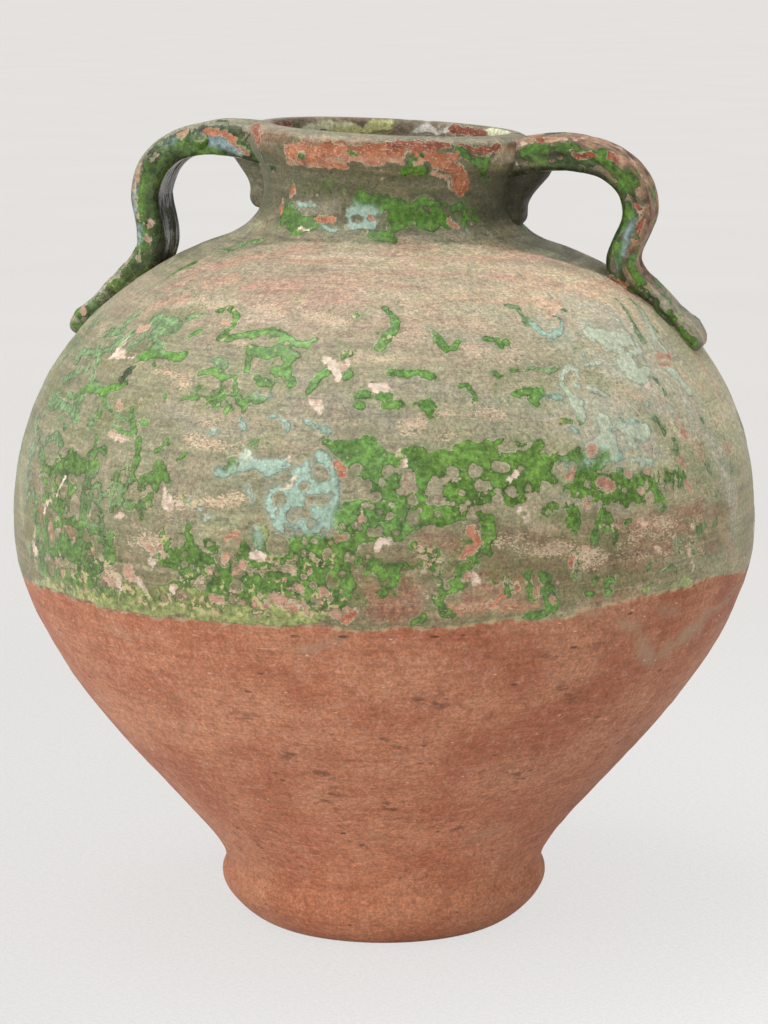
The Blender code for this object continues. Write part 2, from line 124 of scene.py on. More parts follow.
# How finely the meshes are cut, and where their shading breaks
WALL_COLUMNS = 744
NECK_COLUMNS = 512
SHARP_ANGLE = math.radians(48)

# The lip's soft lower edge, in metres along the section and down
SOFT_RUN = 0.0056
SOFT_FALL = 0.0064

# How far glaze and flakes stand proud and how deep chips are, in millimetres
GLAZE_RELIEF = 0.12
FLAKE_RELIEF = 0.20
CHIP_RELIEF = 0.26

# Heights between which the glaze's colour changes
OLIVE_TOP = (0.180, 0.212)
EARTH_TOP = (0.205, 0.260)
WORN_RISE = (0.205, 0.265)
PALE_TOP = (0.296, 0.335)
NECK_RISE = (0.350, 0.362)
SPECK_END = (0.352, 0.362)
WASH_RISE = (0.300, 0.372)
INNER_GLAZE_HEIGHT = 0.330

# Radius of the circle that carries the grain's coordinates
GRAIN_RADIUS = 0.15

# Angles from the front: past the first, the photograph doesn't show the jar; the second bounds its near side
HIDDEN_ANGLE = math.radians(82)
NEAR_ANGLE = math.radians(115)

# The photograph's camera, as fitted to the jar's outline
FRAME_WIDTH = 768
FRAME_HEIGHT = 1024
CAMERA_TURN = math.radians(12.25)
CAMERA_DISTANCE = 1.614
CAMERA_HEIGHT = 0.4923
CAMERA_PITCH = math.radians(10.06)
FOCAL_PIXELS = 3237.4
CAMERA_PLACE = np.array([
    CAMERA_DISTANCE * math.sin(CAMERA_TURN), -CAMERA_DISTANCE * math.cos(CAMERA_TURN), CAMERA_HEIGHT,
])
FRONT = -math.pi / 2 + CAMERA_TURN
SENSOR = 36

# Fields of distance to a patch's edge are in millimetres, up to REACH metres away
MM = 0.001
REACH = 0.006

# Turns a piece that was made on +X half way round the axis, to -X
HALF_TURN = np.array([-1, -1, 1])
FRONT_TO_BACK = np.array([1, -1, 1])

# Colours of clay and glaze, as linear albedo
PALETTE = {
    "khaki": (0.435, 0.405, 0.250),
    "earth": (0.300, 0.260, 0.138),
    "mauve": (0.410, 0.340, 0.240),
    "pink": (0.660, 0.380, 0.280),
    "rose": (0.600, 0.325, 0.230),
    "cream": (0.720, 0.580, 0.410),
    "olive": (0.240, 0.195, 0.075),
    "umber": (0.235, 0.170, 0.090),
    "rust": (0.420, 0.200, 0.120),
    "dusk": (0.155, 0.148, 0.078),
    "stone": (0.290, 0.270, 0.165),
    "haze": (0.410, 0.420, 0.235),
    "sage": (0.225, 0.245, 0.098),
    "pale": (0.630, 0.590, 0.465),
    "leaf": (0.145, 0.325, 0.055),
    "fern": (0.122, 0.245, 0.038),
    "deep": (0.098, 0.228, 0.026),
    "grass": (0.145, 0.290, 0.047),
    "herb": (0.160, 0.320, 0.074),
    "moss": (0.050, 0.095, 0.018),
    "matt": (0.215, 0.345, 0.148),
    "sky": (0.410, 0.570, 0.460),
    "mint": (0.610, 0.670, 0.510),
    "grey": (0.395, 0.365, 0.285),
    # Citron and cress are lighter than the glaze: painted light for the shaded mouth.
    "citron": (0.700, 0.700, 0.300),
    "fog": (0.470, 0.500, 0.370),
    "veil": (0.660, 0.650, 0.530),
    "cress": (0.900, 0.880, 0.600),
    "lime": (0.360, 0.400, 0.135),
    "salmon": (0.620, 0.265, 0.150),
    "coral": (0.560, 0.218, 0.108),
    "brick": (0.360, 0.110, 0.060),
    "flesh": (0.640, 0.380, 0.260),
    "slip": (0.900, 0.740, 0.600),
    "peach": (0.840, 0.600, 0.420),
    "white": (0.880, 0.820, 0.740),
    "ash": (0.360, 0.335, 0.240),
    # Near-black for the straps' inner sides: partly dark glaze, partly painted shade.
    "ink": (0.030, 0.033, 0.016),
    # A painted highlight: pale blue sky reflected on the straps' glaze.
    "gleam": (0.360, 0.500, 0.550),
    "wash": (0.270, 0.205, 0.135),
    "strap_clay": (0.330, 0.165, 0.095),
    "strap_glaze": (0.085, 0.155, 0.028),
    "strap_olive": (0.150, 0.130, 0.050),
    # The right wad is far darker than the left: partly dark glaze, partly painted shade under the right
    # strap's root.
    "left_wad": (0.170, 0.165, 0.105),
    "right_wad": (0.042, 0.040, 0.020),
}


# Curves and outlines

def curve(start, start_pull, end_pull, end, count=60):
    """Points on a cubic curve from start to end."""
    share = np.linspace(0, 1, count)[:, None]
    a, b, c, d = (np.array(p, float) for p in (start, start_pull, end_pull, end))
    rest = 1 - share
    return a * rest**3 + 3 * b * share * rest**2 + 3 * c * share**2 * rest + d * share**3


def ease(low, high, value):
    """A share from 0 at low to 1 at high, eased at both ends."""
    share = np.clip((value - low) / (high - low), 0, 1)
    return share * share * (3 - 2 * share)


def unit(vectors):
    """Vectors at length 1."""
    return vectors / np.maximum(np.linalg.norm(vectors, axis=-1, keepdims=True), 1e-12)


def travelled_along(points):
    """The distance from the first of a row of points to each of them."""
    return np.concatenate([[0], np.cumsum(np.linalg.norm(np.diff(points, axis=0), axis=1))])


def read_pair(wanted, known, pairs):
    """Pairs read at wanted places from pairs at known places."""
    return np.stack([np.interp(wanted, known, pairs[:, k]) for k in (0, 1)], -1)


def blended(one, other, share):
    """A value or colour a share of the way to another, which can be the name of a colour in the palette."""
    if isinstance(other, str):
        other = np.array(PALETTE[other])
    return one + share * (other - one)


def shoulder_height(radius):
    """Height of the shoulder's outer side at a radius, on a superellipse."""
    share = 1 - (radius / BELLY_RADIUS) ** SHOULDER_ROUNDNESS
    return BELLY_HEIGHT + SHOULDER_RISE * share ** (1 / SHOULDER_ROUNDNESS)


NECK_FOOT_HEIGHT = shoulder_height(NECK_FOOT)


def outer_parts():
    """The outer side from the foot's contact edge over the lip to the crest's inner edge."""
    groove = (FOOT_ROLL_HEIGHT + FOOT_HEIGHT) / 2
    foot = np.vstack([
        curve(
            (FOOT_CONTACT, 0), FOOT_EDGE,
            (FOOT_ROLL, FOOT_ROLL_HEIGHT - FOOT_ROLL_PULL), (FOOT_ROLL, FOOT_ROLL_HEIGHT),
        ),
        curve(
            (FOOT_ROLL, FOOT_ROLL_HEIGHT), (FOOT_ROLL, groove),
            (FOOT_GROOVE, groove), (FOOT_GROOVE, FOOT_HEIGHT),
        )[1:],
    ])
    lower = curve(
        (FOOT_GROOVE, FOOT_HEIGHT), (FOOT_GROOVE, FOOT_HEIGHT + LOWER_WALL_PULL),
        (BELLY_RADIUS, BELLY_HEIGHT - BELLY_PULL), (BELLY_RADIUS, BELLY_HEIGHT), 200,
    )
    top = math.asin(((NECK_FOOT_HEIGHT - BELLY_HEIGHT) / SHOULDER_RISE) ** (SHOULDER_ROUNDNESS / 2))
    rise = np.sin(np.linspace(0, top, 300)) ** (2 / SHOULDER_ROUNDNESS)
    radius = BELLY_RADIUS * (1 - rise**SHOULDER_ROUNDNESS) ** (1 / SHOULDER_ROUNDNESS)
    upper = np.stack([radius, BELLY_HEIGHT + SHOULDER_RISE * rise], 1)
    slope = upper[-2] - upper[-1]
    run = (NECK_FOOT - NECK_RADIUS) * NECK_FOOT_PULL
    flare_top = NECK_FOOT_HEIGHT + NECK_FLARE_HEIGHT
    middle = (flare_top + LIP_BOTTOM) / 2
    neck = np.vstack([
        curve(
            (NECK_FOOT, NECK_FOOT_HEIGHT), (NECK_FOOT - run, NECK_FOOT_HEIGHT - run * slope[1] / slope[0]),
            (NECK_RADIUS, flare_top - NECK_FLARE_PULL), (NECK_RADIUS, flare_top),
        ),
        curve(
            (NECK_RADIUS, flare_top), (NECK_RADIUS, middle),
            (NECK_TOP, middle), (NECK_TOP, LIP_BOTTOM),
        )[1:],
    ])
    turn = np.radians(np.linspace(-90, 0, 12))
    edge = LIP_RADIUS - LIP_EDGE
    crest = LIP_CREST + CREST_FLAT / 2
    over = JAR_HEIGHT - LIP_BOTTOM - LIP_BAND
    lip = np.vstack([
        [(NECK_TOP, LIP_BOTTOM)],
        np.stack([edge + LIP_EDGE * np.cos(turn), LIP_BOTTOM + LIP_EDGE * (1 + np.sin(turn))], 1),
        curve(
            (LIP_RADIUS, LIP_BOTTOM + LIP_BAND), (LIP_RADIUS, JAR_HEIGHT - over * LIP_CREST_PULLS[0]),
            (crest + (LIP_RADIUS - crest) * LIP_CREST_PULLS[1], JAR_HEIGHT), (crest, JAR_HEIGHT),
        ),
        [(LIP_CREST - CREST_FLAT / 2, JAR_HEIGHT)],
    ])
    return [foot, lower, upper, neck, lip]


def inner_parts(outer):
    """The inner side from the crest's inner edge down to the middle of the floor."""
    wall = np.vstack([outer[1], outer[2][1:], outer[3][1:]])
    along = unit(np.gradient(wall, axis=0))
    share = np.clip((wall[:, 1] - FOOT_HEIGHT) / (LIP_BOTTOM - FOOT_HEIGHT), 0, 1)
    thick = WALL_LOW + (WALL_HIGH - WALL_LOW) * share
    inner = wall - np.stack([along[:, 1], -along[:, 0]], 1) * thick[:, None]
    margin = 1e-4
    inner = inner[(inner[:, 1] > FOOT_HEIGHT + margin) & (inner[:, 1] < LIP_BOTTOM - margin)]
    low = inner[0, 0]
    high = NECK_TOP - WALL_HIGH
    down = np.vstack([[(high, LIP_BOTTOM)], inner[::-1], [(low, FOOT_HEIGHT)]])
    crest = LIP_CREST - CREST_FLAT / 2
    lip = np.vstack([
        curve(
            (crest, JAR_HEIGHT), (high + (crest - high) * LIP_INNER_PULLS[0], JAR_HEIGHT),
            (high, JAR_HEIGHT - LIP_INNER_PULLS[1]), (high, JAR_HEIGHT - LIP_INNER_DROP), 24,
        ),
        [(high, LIP_BOTTOM)],
    ])
    neck, belly = [np.argmin(abs(down[:, 1] - height)) for height in (NECK_FOOT_HEIGHT, BELLY_HEIGHT)]
    corner = curve(
        (low, FOOT_HEIGHT), (low, FLOOR_TOP + (FOOT_HEIGHT - FLOOR_TOP) * FLOOR_CORNER_SHARE),
        (low - FLOOR_CORNER * FLOOR_CORNER_SHARE, FLOOR_TOP), (low - FLOOR_CORNER, FLOOR_TOP), 24,
    )
    floor = np.vstack([corner, [(0.0004, FLOOR_TOP)]])
    return [lip, down[: neck + 1], down[neck: belly + 1], down[belly:], floor]


class Section:
    """The jar's section as one path by the distance travelled, with named stretches."""

    def __init__(self):
        outer = outer_parts()
        inner = inner_parts(outer)
        names = ["foot", "lower", "upper", "neck", "lip"]
        stretches = list(zip(names, outer)) + [(n + "_in", p) for n, p in zip(names[::-1], inner)]
        points = [stretches[0][1][:1]]
        self.span = {}
        travelled = 0
        for name, part in stretches:
            length = travelled_along(part)[-1]
            self.span[name] = (travelled, travelled + length)
            travelled += length
            points.append(part[1:])
        self.points = np.vstack(points)
        self.distance = travelled_along(self.points)

    def at(self, travelled):
        """(radius, height) at distances along the path."""
        return read_pair(travelled, self.distance, self.points)

    def facing(self, travelled):
        """The direction out of the clay, as (across, up), at distances along the path."""
        step = 0.0006
        along = unit(self.at(travelled + step) - self.at(travelled - step))
        return np.stack([along[..., 1], -along[..., 0]], -1)

    def spaced(self, name, step):
        """Distances along a stretch, a step apart, from end to end."""
        start, end = self.span[name]
        return np.linspace(start, end, max(int(round((end - start) / step)), 2) + 1)

    def fine_at_end(self, name, fine, coarse, run):
        """Distances along a stretch, a fine step apart on the run before its end and coarse before that."""
        start, end = self.span[name]
        count = int(round((end - start - run) / coarse))
        return np.concatenate([
            np.linspace(start, end - run, count, endpoint=False),
            np.linspace(end - run, end, int(round(run / fine)) + 1),
        ])


section = Section()


# Smooth noise

def scatter(x, y, z, seed):
    """A random number from 0 to 1 for each corner of a lattice."""
    mixed = x * 73856093 ^ y * 19349663 ^ z * 83492791 ^ (seed + 1) * 40503
    mixed = mixed.astype(np.uint32)
    mixed = (mixed ^ mixed >> 15) * np.uint32(2246822519)
    mixed = (mixed ^ mixed >> 13) * np.uint32(3266489917)
    return (mixed ^ mixed >> 16) / 4294967295


def noise(points, size, seed, octaves):
    """Smooth noise from about -1 to 1, whose largest lumps have the given size."""
    total = 0
    reach = 0
    for octave in range(octaves):
        cell = points / np.array(size) * 2**octave + 31.7 * octave + 0.37
        base = np.floor(cell).astype(np.int64)
        part = cell - base
        part = part * part * (3 - 2 * part)
        value = 0
        for corner in itertools.product((0, 1), repeat=3):
            weight = np.prod(np.where(np.array(corner) == 1, part, 1 - part), axis=-1)
            ends = [base[..., k] + corner[k] for k in range(3)]
            value = value + weight * scatter(*ends, seed * 17 + octave)
        total = total + (2 * value - 1) / 2**octave
        reach += 1 / 2**octave
    return total / reach * 1.5


def lean(points):
    """Where points of the straight jar lie once the neck leans."""
    share = ease(JAR_HEIGHT - LEAN_RUN, (JAR_HEIGHT + LIP_BOTTOM) / 2, points[..., 2])
    across = points[..., 0]
    past = np.maximum(abs(across) - LEAN_ARM, 0)
    arm = np.minimum(abs(across), LEAN_ARM) + LEAN_ARM_EASE * np.tanh(past / LEAN_ARM_EASE)
    moved = points.copy()
    moved[..., 0] += LEAN_SHIFT * share
    moved[..., 2] -= np.copysign(arm, across) * math.sin(LEAN_TILT) * share
    return moved


def to_picture(points):
    """(x, y, depth) of points in the photograph's pixels."""
    moved = points - CAMERA_PLACE
    cos_turn, sin_turn = math.cos(CAMERA_TURN), math.sin(CAMERA_TURN)
    cos_pitch, sin_pitch = math.cos(CAMERA_PITCH), math.sin(CAMERA_PITCH)
    right = moved[..., 0] * cos_turn + moved[..., 1] * sin_turn
    ahead = -moved[..., 0] * sin_turn + moved[..., 1] * cos_turn
    depth = ahead * cos_pitch - moved[..., 2] * sin_pitch
    up = ahead * sin_pitch + moved[..., 2] * cos_pitch
    return FRAME_WIDTH / 2 + FOCAL_PIXELS * right / depth, FRAME_HEIGHT / 2 - FOCAL_PIXELS * up / depth, depth


def pixel_size(pixels):
    """Metres for a length in the photograph's pixels, at the jar's front."""
    return pixels * (CAMERA_DISTANCE - 0.14) / FOCAL_PIXELS


def from_front(turn):
    """Angles round the jar from the side that faces the camera, between -pi and pi."""
    return (turn - FRONT + math.pi) % math.tau - math.pi


class Skin:
    """A grid of points round a piece: rows lie along it and columns go round it.

    turn is each column's angle, along each row's distance, and girth each row's radius, so
    that a distance on the surface is about the hypotenuse of girth times turn and along.
    """

    def __init__(self, places, outward, along, girth, turn):
        self.places = places
        self.outward = outward
        self.along = along
        self.girth = girth
        self.turn = turn
        shown = lean(places)
        self.x, self.y, self.depth = to_picture(shown)
        self.faces = ((CAMERA_PLACE - shown) * outward).sum(-1) > 0
        shape = places.shape[:2]
        self.rough = 0.55 * noise(places, 0.0042, 11, 2) + 0.25 * noise(places, 0.0014, 12, 1)
        self.bend = [0.0016 * noise(places, 0.0085, seed, 2) for seed in (13, 14)]
        self.layers = {name: np.full(shape, -REACH / MM) for name in ("flake", "chip")}
        self.paint = {name: np.zeros(shape + (3,)) for name in ("flake", "chip")}
        self.weight = {name: np.full(shape, 1e-9) for name in ("flake", "chip")}
        self.ground = np.zeros(shape + (3,))
        self.glaze = np.full(shape, REACH / MM)
        self.extra = np.zeros(shape + (3,))
        self.cover = np.zeros(shape)
        self.holes = np.full(shape, REACH / MM)

    def readings(self):
        """What a material reads at each point: (name, kind, values)."""
        limit = REACH / MM
        fields = np.stack([self.glaze, self.layers["flake"], self.layers["chip"]], -1)
        yield "ground", "FLOAT_COLOR", self.ground
        for layer, plain in (("flake", "leaf"), ("chip", "flesh")):
            weight = self.weight[layer][..., None]
            yield layer, "FLOAT_COLOR", np.where(weight < 1e-6, PALETTE[plain], self.paint[layer] / weight)
        yield "fields", "FLOAT_VECTOR", np.clip(fields, -limit, limit)
        yield "extra", "FLOAT_VECTOR", self.extra
        yield "cover", "FLOAT", self.cover[..., None]
        yield "holes", "FLOAT", self.holes[..., None]

    def find(self, x, y):
        """The (turn, along) of the nearest shown point at a pixel of the photograph, and its miss."""
        miss = np.where(self.faces, np.hypot(self.x - x, self.y - y), 1e9)
        near = miss < 3.5
        if near.any():
            miss = np.where(near & (self.depth > self.depth[near].min() + 0.03), 1e9, miss)
        row, column = np.unravel_index(np.argmin(miss), miss.shape)
        best = miss[row, column]
        after = (column + 1) % len(self.turn)
        inside = min(max(row, 1), len(self.along) - 2)
        step = self.turn[1] - self.turn[0]
        rise = self.along[inside + 1] - self.along[inside - 1]
        slopes = np.array([
            [(grid[row, after] - grid[row, column - 1]) / 2 / step,
             (grid[inside + 1, column] - grid[inside - 1, column]) / rise]
            for grid in (self.x, self.y)
        ])
        move = np.zeros(2)
        if abs(np.linalg.det(slopes)) > 1e-3 and best < 4:
            gap = np.array([x - self.x[row, column], y - self.y[row, column]])
            limit = np.array([2 * step, abs(rise)])
            move = np.clip(np.linalg.solve(slopes, gap), -limit, limit)
        return self.turn[column] + move[0], self.along[row] + move[1], best

    def window(self, stroke, reach, bend=1.0):
        """The points near a stroke of (turn, along) points, as an index, and their distance to it."""
        turns, ways = np.array(stroke).T
        rows = np.nonzero((self.along > ways.min() - reach) & (self.along < ways.max() + reach))[0]
        offset = (turns - turns[0] + math.pi) % math.tau - math.pi
        away = (self.turn - turns[0] + math.pi) % math.tau - math.pi
        least = max(self.girth[rows].min(initial=1.0), 1e-3)
        columns = np.nonzero(abs(away) < np.abs(offset).max() + reach / least)[0]
        where = np.ix_(rows, columns)
        across = away[columns] * self.girth[rows][:, None] + self.bend[0][where] * bend
        along = self.along[rows][:, None] + self.bend[1][where] * bend
        order = np.argsort(self.along)
        xs, ys = offset * np.interp(ways, self.along[order], self.girth[order]), ways
        if len(stroke) == 1:
            return where, np.hypot(across - xs[0], along - ys[0])
        best = np.full(across.shape, 1e9)
        for x, y, dx, dy in zip(xs, ys, np.diff(xs), np.diff(ys)):
            share = np.clip(((across - x) * dx + (along - y) * dy) / max(dx * dx + dy * dy, 1e-12), 0, 1)
            best = np.minimum(best, np.hypot(across - x - share * dx, along - y - share * dy))
        return where, best

    def draw(self, stroke, radius, layer, colour):
        """Add a stroke of paint to a layer."""
        where, gap = self.window(stroke, radius + REACH)
        inside = (radius - gap) / MM + self.rough[where]
        self.layers[layer][where] = np.maximum(self.layers[layer][where], inside)
        weight = np.exp(np.clip(inside / 0.9, -9, 5))
        self.paint[layer][where] += weight[..., None] * np.array(PALETTE[colour])
        self.weight[layer][where] += weight

    def bite(self, stroke, radius):
        """Take a round bite out of the flakes."""
        where, gap = self.window(stroke, radius + REACH, 0.35)
        self.holes[where] = np.minimum(self.holes[where], (gap - radius) / MM + self.rough[where] * 0.5)

    def keep(self, stroke, radius):
        """Keep chips away from a place."""
        where, gap = self.window(stroke, radius + REACH)
        outside = (gap - radius) / MM + self.rough[where]
        self.layers["chip"][where] = np.minimum(self.layers["chip"][where], outside)

    def tone(self, stroke, radius, colour, soft, strength):
        """Tint the ground softly along a stroke."""
        where, gap = self.window(stroke, radius + soft)
        share = strength * ease(-soft, soft, radius - gap + self.rough[where] * soft * 0.5)
        self.ground[where] = blended(self.ground[where], colour, share[..., None])

    def spread(self, stroke, radius, colour, soft, amount):
        """Cover a region with a broken network of flakes, as dense as the amount."""
        where, gap = self.window(stroke, radius + soft)
        share = ease(-soft, soft, radius - gap)
        self.cover[where] = np.maximum(self.cover[where], amount * share)
        self.paint["flake"][where] += 0.4 * share[..., None] * np.array(PALETTE[colour])
        self.weight["flake"][where] += 0.4 * share

    def sprinkle(self, stroke, radius, channel, soft, amount):
        """Raise one of the extra channels softly along a stroke."""
        where, gap = self.window(stroke, radius + soft)
        share = amount * ease(-soft, soft, radius - gap)
        self.extra[where + (channel,)] = np.maximum(self.extra[where + (channel,)], share)


# Patches of each kind, where the photograph shows them. Each text holds strokes with semicolons between
# them: a radius and then x,y points, all in the photograph's pixels.

# Raised flakes of glaze: colour, strokes
FLAKES = [
    ("matt", """
    6 82,352 95,355 112,350; 5 100,352 97,368 92,380 97,392; 6 52,402 64,405 72,408 77,416;
    7 155,320 172,322 176,330; 5 37,418 38,432; 6 46,441 56,436 61,445; 7 108,334 122,331;
    7 158,330 168,334; 5 150,343 163,345; 7 118,342 132,336; 5 134,345 142,341; 4 128,322 136,315;
    5 165,352 152,338; 5 60,365 70,352 80,340; 5 60,392 50,402 44,415; 5 88,330 100,322; 6 84,350 78,362;
    5 66,380 78,372; 5 70,395 82,402; 4 40,440 34,455; 5 190,318 200,315; 4 215,362 225,366"""),
    ("leaf", """
    5 79,397 88,389 104,392 116,388 125,383; 3 106,400 104,409 99,415; 6 142,358 155,353 170,355 184,358;
    4 139,364 148,359; 4 193,336 198,334; 4 219,312 227,309 235,317 234,327 225,335 218,341;
    4 218,342 232,339 246,337 262,334 277,335 292,343; 4 292,345 305,347 313,341;
    7 252,352 266,357 280,351 291,358; 4 286,366 288,361; 4 250,362 246,372; 4 255,378 262,384 271,387;
    4 286,376 292,385; 4 309,393 313,384 322,374 327,371; 4 343,357 350,356; 5 346,379 348,374;
    4 198,377 212,371 224,378 234,379; 3 235,382 236,395; 3 185,400 200,399 214,401 225,397 236,395;
    4 239,400 247,408 246,414; 4 247,404 262,400; 3 165,395 166,399; 4 133,408 134,420 137,432;
    5 138,440 139,452 137,466; 2.5 137,421 147,424; 3 118,427 122,432 131,435; 3 158,449 169,443;
    3 97,436 95,449 88,456; 3 175,459 185,454; 4 325,442 345,444 361,442 368,450 367,461;
    3 316,432 322,438; 4 386,309 390,317 396,325; 6 392,330 384,338 378,347;
    4 433,336 436,343 447,353 455,351 461,345; 3 390,371 394,373 400,375 415,376 430,376;
    3 418,380 432,377; 5 360,394 366,393; 5 387,396 380,395; 4 359,406 362,408;
    4 385,405 393,406 402,406; 5 426,405 429,415; 4 433,408 427,404; 3 460,385 467,384 471,394;
    4 471,400 468,403; 5 486,339 496,341; 4 500,344 506,344; 2.5 493,373 499,377; 3 511,371 521,371;
    5 515,394 525,391 540,393; 4 530,398 536,402; 4 565,421 569,423; 2.5 577,417 580,422;
    3 563,387 565,391; 3 318,380 326,374; 5 355,318 357,317"""),
    ("matt", """
    3 505,305 515,308 520,315; 4 523,319 527,326; 2.5 550,316 557,318 561,325; 2.5 555,305 563,311;
    3 430,332 433,338; 3 615,300 625,311 634,325 640,344; 3 632,302 645,320 655,332; 3 530,369 541,370;
    3 655,421 663,431; 4 673,438 676,450; 4 548,372 556,368; 3 655,380 665,396"""),
    ("sky", """
    3.5 243,420 244,429; 1.5 257,397 271,397; 4 212,433 214,431; 3 272,414 282,418 287,429;
    4 306,420 317,426 331,431; 4 219,473 232,469; 5 245,466 256,466 268,468; 4 281,465 290,464;
    3 284,458 288,466; 6 306,466 302,478; 5 320,455 326,462 332,474 336,488 337,503; 5 322,460 318,485;
    7 293,490 318,489 330,500; 9 277,502 281,515 291,526; 8 325,512 326,525; 7 300,500 300,528;
    3 250,488 253,498; 4 258,525 262,535 262,545; 6 285,490 275,492; 5 315,512 312,528;
    5 533,327 541,333; 4.5 541,333 548,336 556,334; 4 555,333 563,328 562,321; 3 571,428 577,432;
    4 545,396 558,396; 4 620,421 630,423 638,433 645,440; 4 612,430 607,438; 4 611,446 614,456;
    4 563,466 622,459; 4 600,447 620,455; 4 638,460 650,463"""),
    ("mint", """
    11 590,334 625,342; 9 625,368 645,382; 9 603,420 612,455; 8 620,428 645,436; 7 632,460 645,463;
    7 573,400 580,415; 5 640,312 652,335 664,352; 6 668,372 690,395;
    4 561,380 561,372 569,366 577,372 578,381; 3 580,365 592,364 606,366; 2 582,355 584,362;
    4 575,386 590,390 599,393; 3 580,400 578,412; 5 568,391 560,385; 8 606,346 620,352 632,366;
    7 645,374 630,376; 5 618,362 640,352; 3 655,350 650,342; 6 245,462 250,458;
    2 616,320 625,331 636,346 645,362; 4 196,503 188,501; 4 200,510 210,516; 5 626,436 636,445;
    5 590,448 604,441; 3 188,505 196,512 206,519"""),
    ("fern", """
    7 70,454 76,462 82,470; 4 87,455 99,452; 4 105,452 103,450; 9 62,466 80,466 95,471; 8 56,484 74,490;
    7 97,488 98,500; 4 101,505 102,528; 3 104,495 114,483 115,475; 3 121,490 130,484;
    5 137,455 134,470 131,480; 5 140,480 150,477 161,480; 5 160,464 168,480; 5 150,494 146,500;
    5 125,503 136,505 151,500; 2.5 140,515 139,509; 3 115,505 112,508; 3 33,505 35,515;
    7 45,530 60,524 75,520 90,530; 8 50,548 70,548 88,549; 6 84,567 91,580; 4 105,540 108,551;
    3 115,555 117,558; 7 45,500 66,508; 6 40,468 50,470; 4 45,485 40,478; 5 60,575 75,583;
    3 166,529 165,545 168,553; 4 188,530 191,545; 6 165,559 176,560 190,560; 6 184,570 192,574;
    5 205,570 215,578 222,585; 4 230,560 238,565; 6 250,575 262,580; 4 243,545 250,548;
    5 268,547 263,543; 5 172,585 184,583; 4 207,592 216,596; 4 236,462 230,466;
    6 412,450 420,452 424,461; 4 424,462 428,475 426,486; 5 395,458 404,457; 5 440,520 452,520;
    5 458,516 466,508"""),
    ("herb", """
    9 378,470 386,480; 9 378,492 400,492; 9 355,508 376,512 402,512; 7 345,522 344,515;
    8 370,526 396,527 416,521; 6 392,463 384,458; 10 352,458 362,470"""),
    ("grass", """
    9 300,549 320,545 346,550; 10 300,566 318,575; 9 342,566 347,585; 9 288,583 310,596;
    8 345,597 330,603; 6 375,538 352,538; 5 388,566 396,568; 5 265,590 280,600;
    6 407,500 425,505 428,520; 6 440,520 460,515; 7 450,460 466,454 480,456 491,448;
    6 505,458 520,458 530,451 539,445; 3 521,444 523,440; 8 530,470 546,465; 5 555,458 548,470;
    8 470,480 490,478 506,478 532,480; 7 460,500 480,500 502,497 522,495; 6 545,476 552,480;
    5 485,515 491,530 486,546 490,556; 6 472,560 460,574; 4 499,443 505,441; 8 445,590 460,582;
    6 440,604 446,615; 4 413,548 414,556; 3 410,562 424,562; 4 412,623 424,620; 4 544,512 554,505;
    6 568,458 576,454 581,464; 6 595,466 606,456; 7 580,472 592,480; 6 570,490 592,496;
    6 600,500 612,492; 6 620,491 641,481; 6 650,485 656,499; 3 659,503 661,510; 6 626,501 640,496;
    4 568,505 570,518 576,528; 4 600,513 597,530 594,541; 5 605,515 612,525 617,535; 2 615,540 614,545;
    3 628,523 632,521; 2.5 578,555 576,565 575,575; 4 501,572 505,585 509,595; 4 525,577 530,589 533,596;
    5 543,577 549,579; 8 549,590 550,604; 6 545,613 538,617; 3 595,580 598,579; 5 608,581 613,578;
    3 609,586 610,591; 4 588,595 593,594; 3 664,570 670,566 676,573; 3 650,563 648,568;
    4 698,530 704,528; 3 714,525 716,523; 6 460,465 470,470; 5 600,485 612,478; 5 663,470 666,480;
    4 640,493 650,492; 4 480,457 482,470"""),
    ("lime", """
    6 36,581 60,588 84,594; 6 84,594 100,600 120,605; 7 130,603 150,608 176,611;
    6 176,611 200,613 225,616 250,617 275,618; 5 275,616 300,617 322,616; 5 255,604 280,606 300,606;
    6 132,592 160,590 190,592; 5 220,602 246,606; 5 270,608 295,612; 4 60,578 72,588;
    4 262,525 270,530 272,538; 4 188,503 182,497"""),
    ("moss", """
    4.5 128,372 123,378; 3 126,380 130,384; 4 129,373 133,371; 1.6 320,560 322,572 327,586;
    2.5 100,515 101,530"""),
    ("deep", """
    8 290,213 296,224 311,222; 5 285,210 283,222; 6 298,229 316,226; 7 366,199 386,201;
    11 393,207 398,224; 9 420,216 431,226; 7 444,222 438,212; 6 372,235 391,237; 6 417,207 420,203;
    4.5 452,207 457,206; 5 463,223 465,226; 7 407,168 416,163; 5 413,158 421,170; 6 458,152 467,155;
    4 470,161 476,160; 4 484,157 480,170; 3 300,153 303,155; 4 345,151 355,152; 3 424,205 445,204"""),
    ("sky", """
    8 354,214 370,213; 8 354,226 370,226; 3 326,228 336,229; 2.5 462,229 468,229; 3 297,206 315,206"""),
    ("moss", "3 262,154 265,160; 3 268,168 275,168"),
]

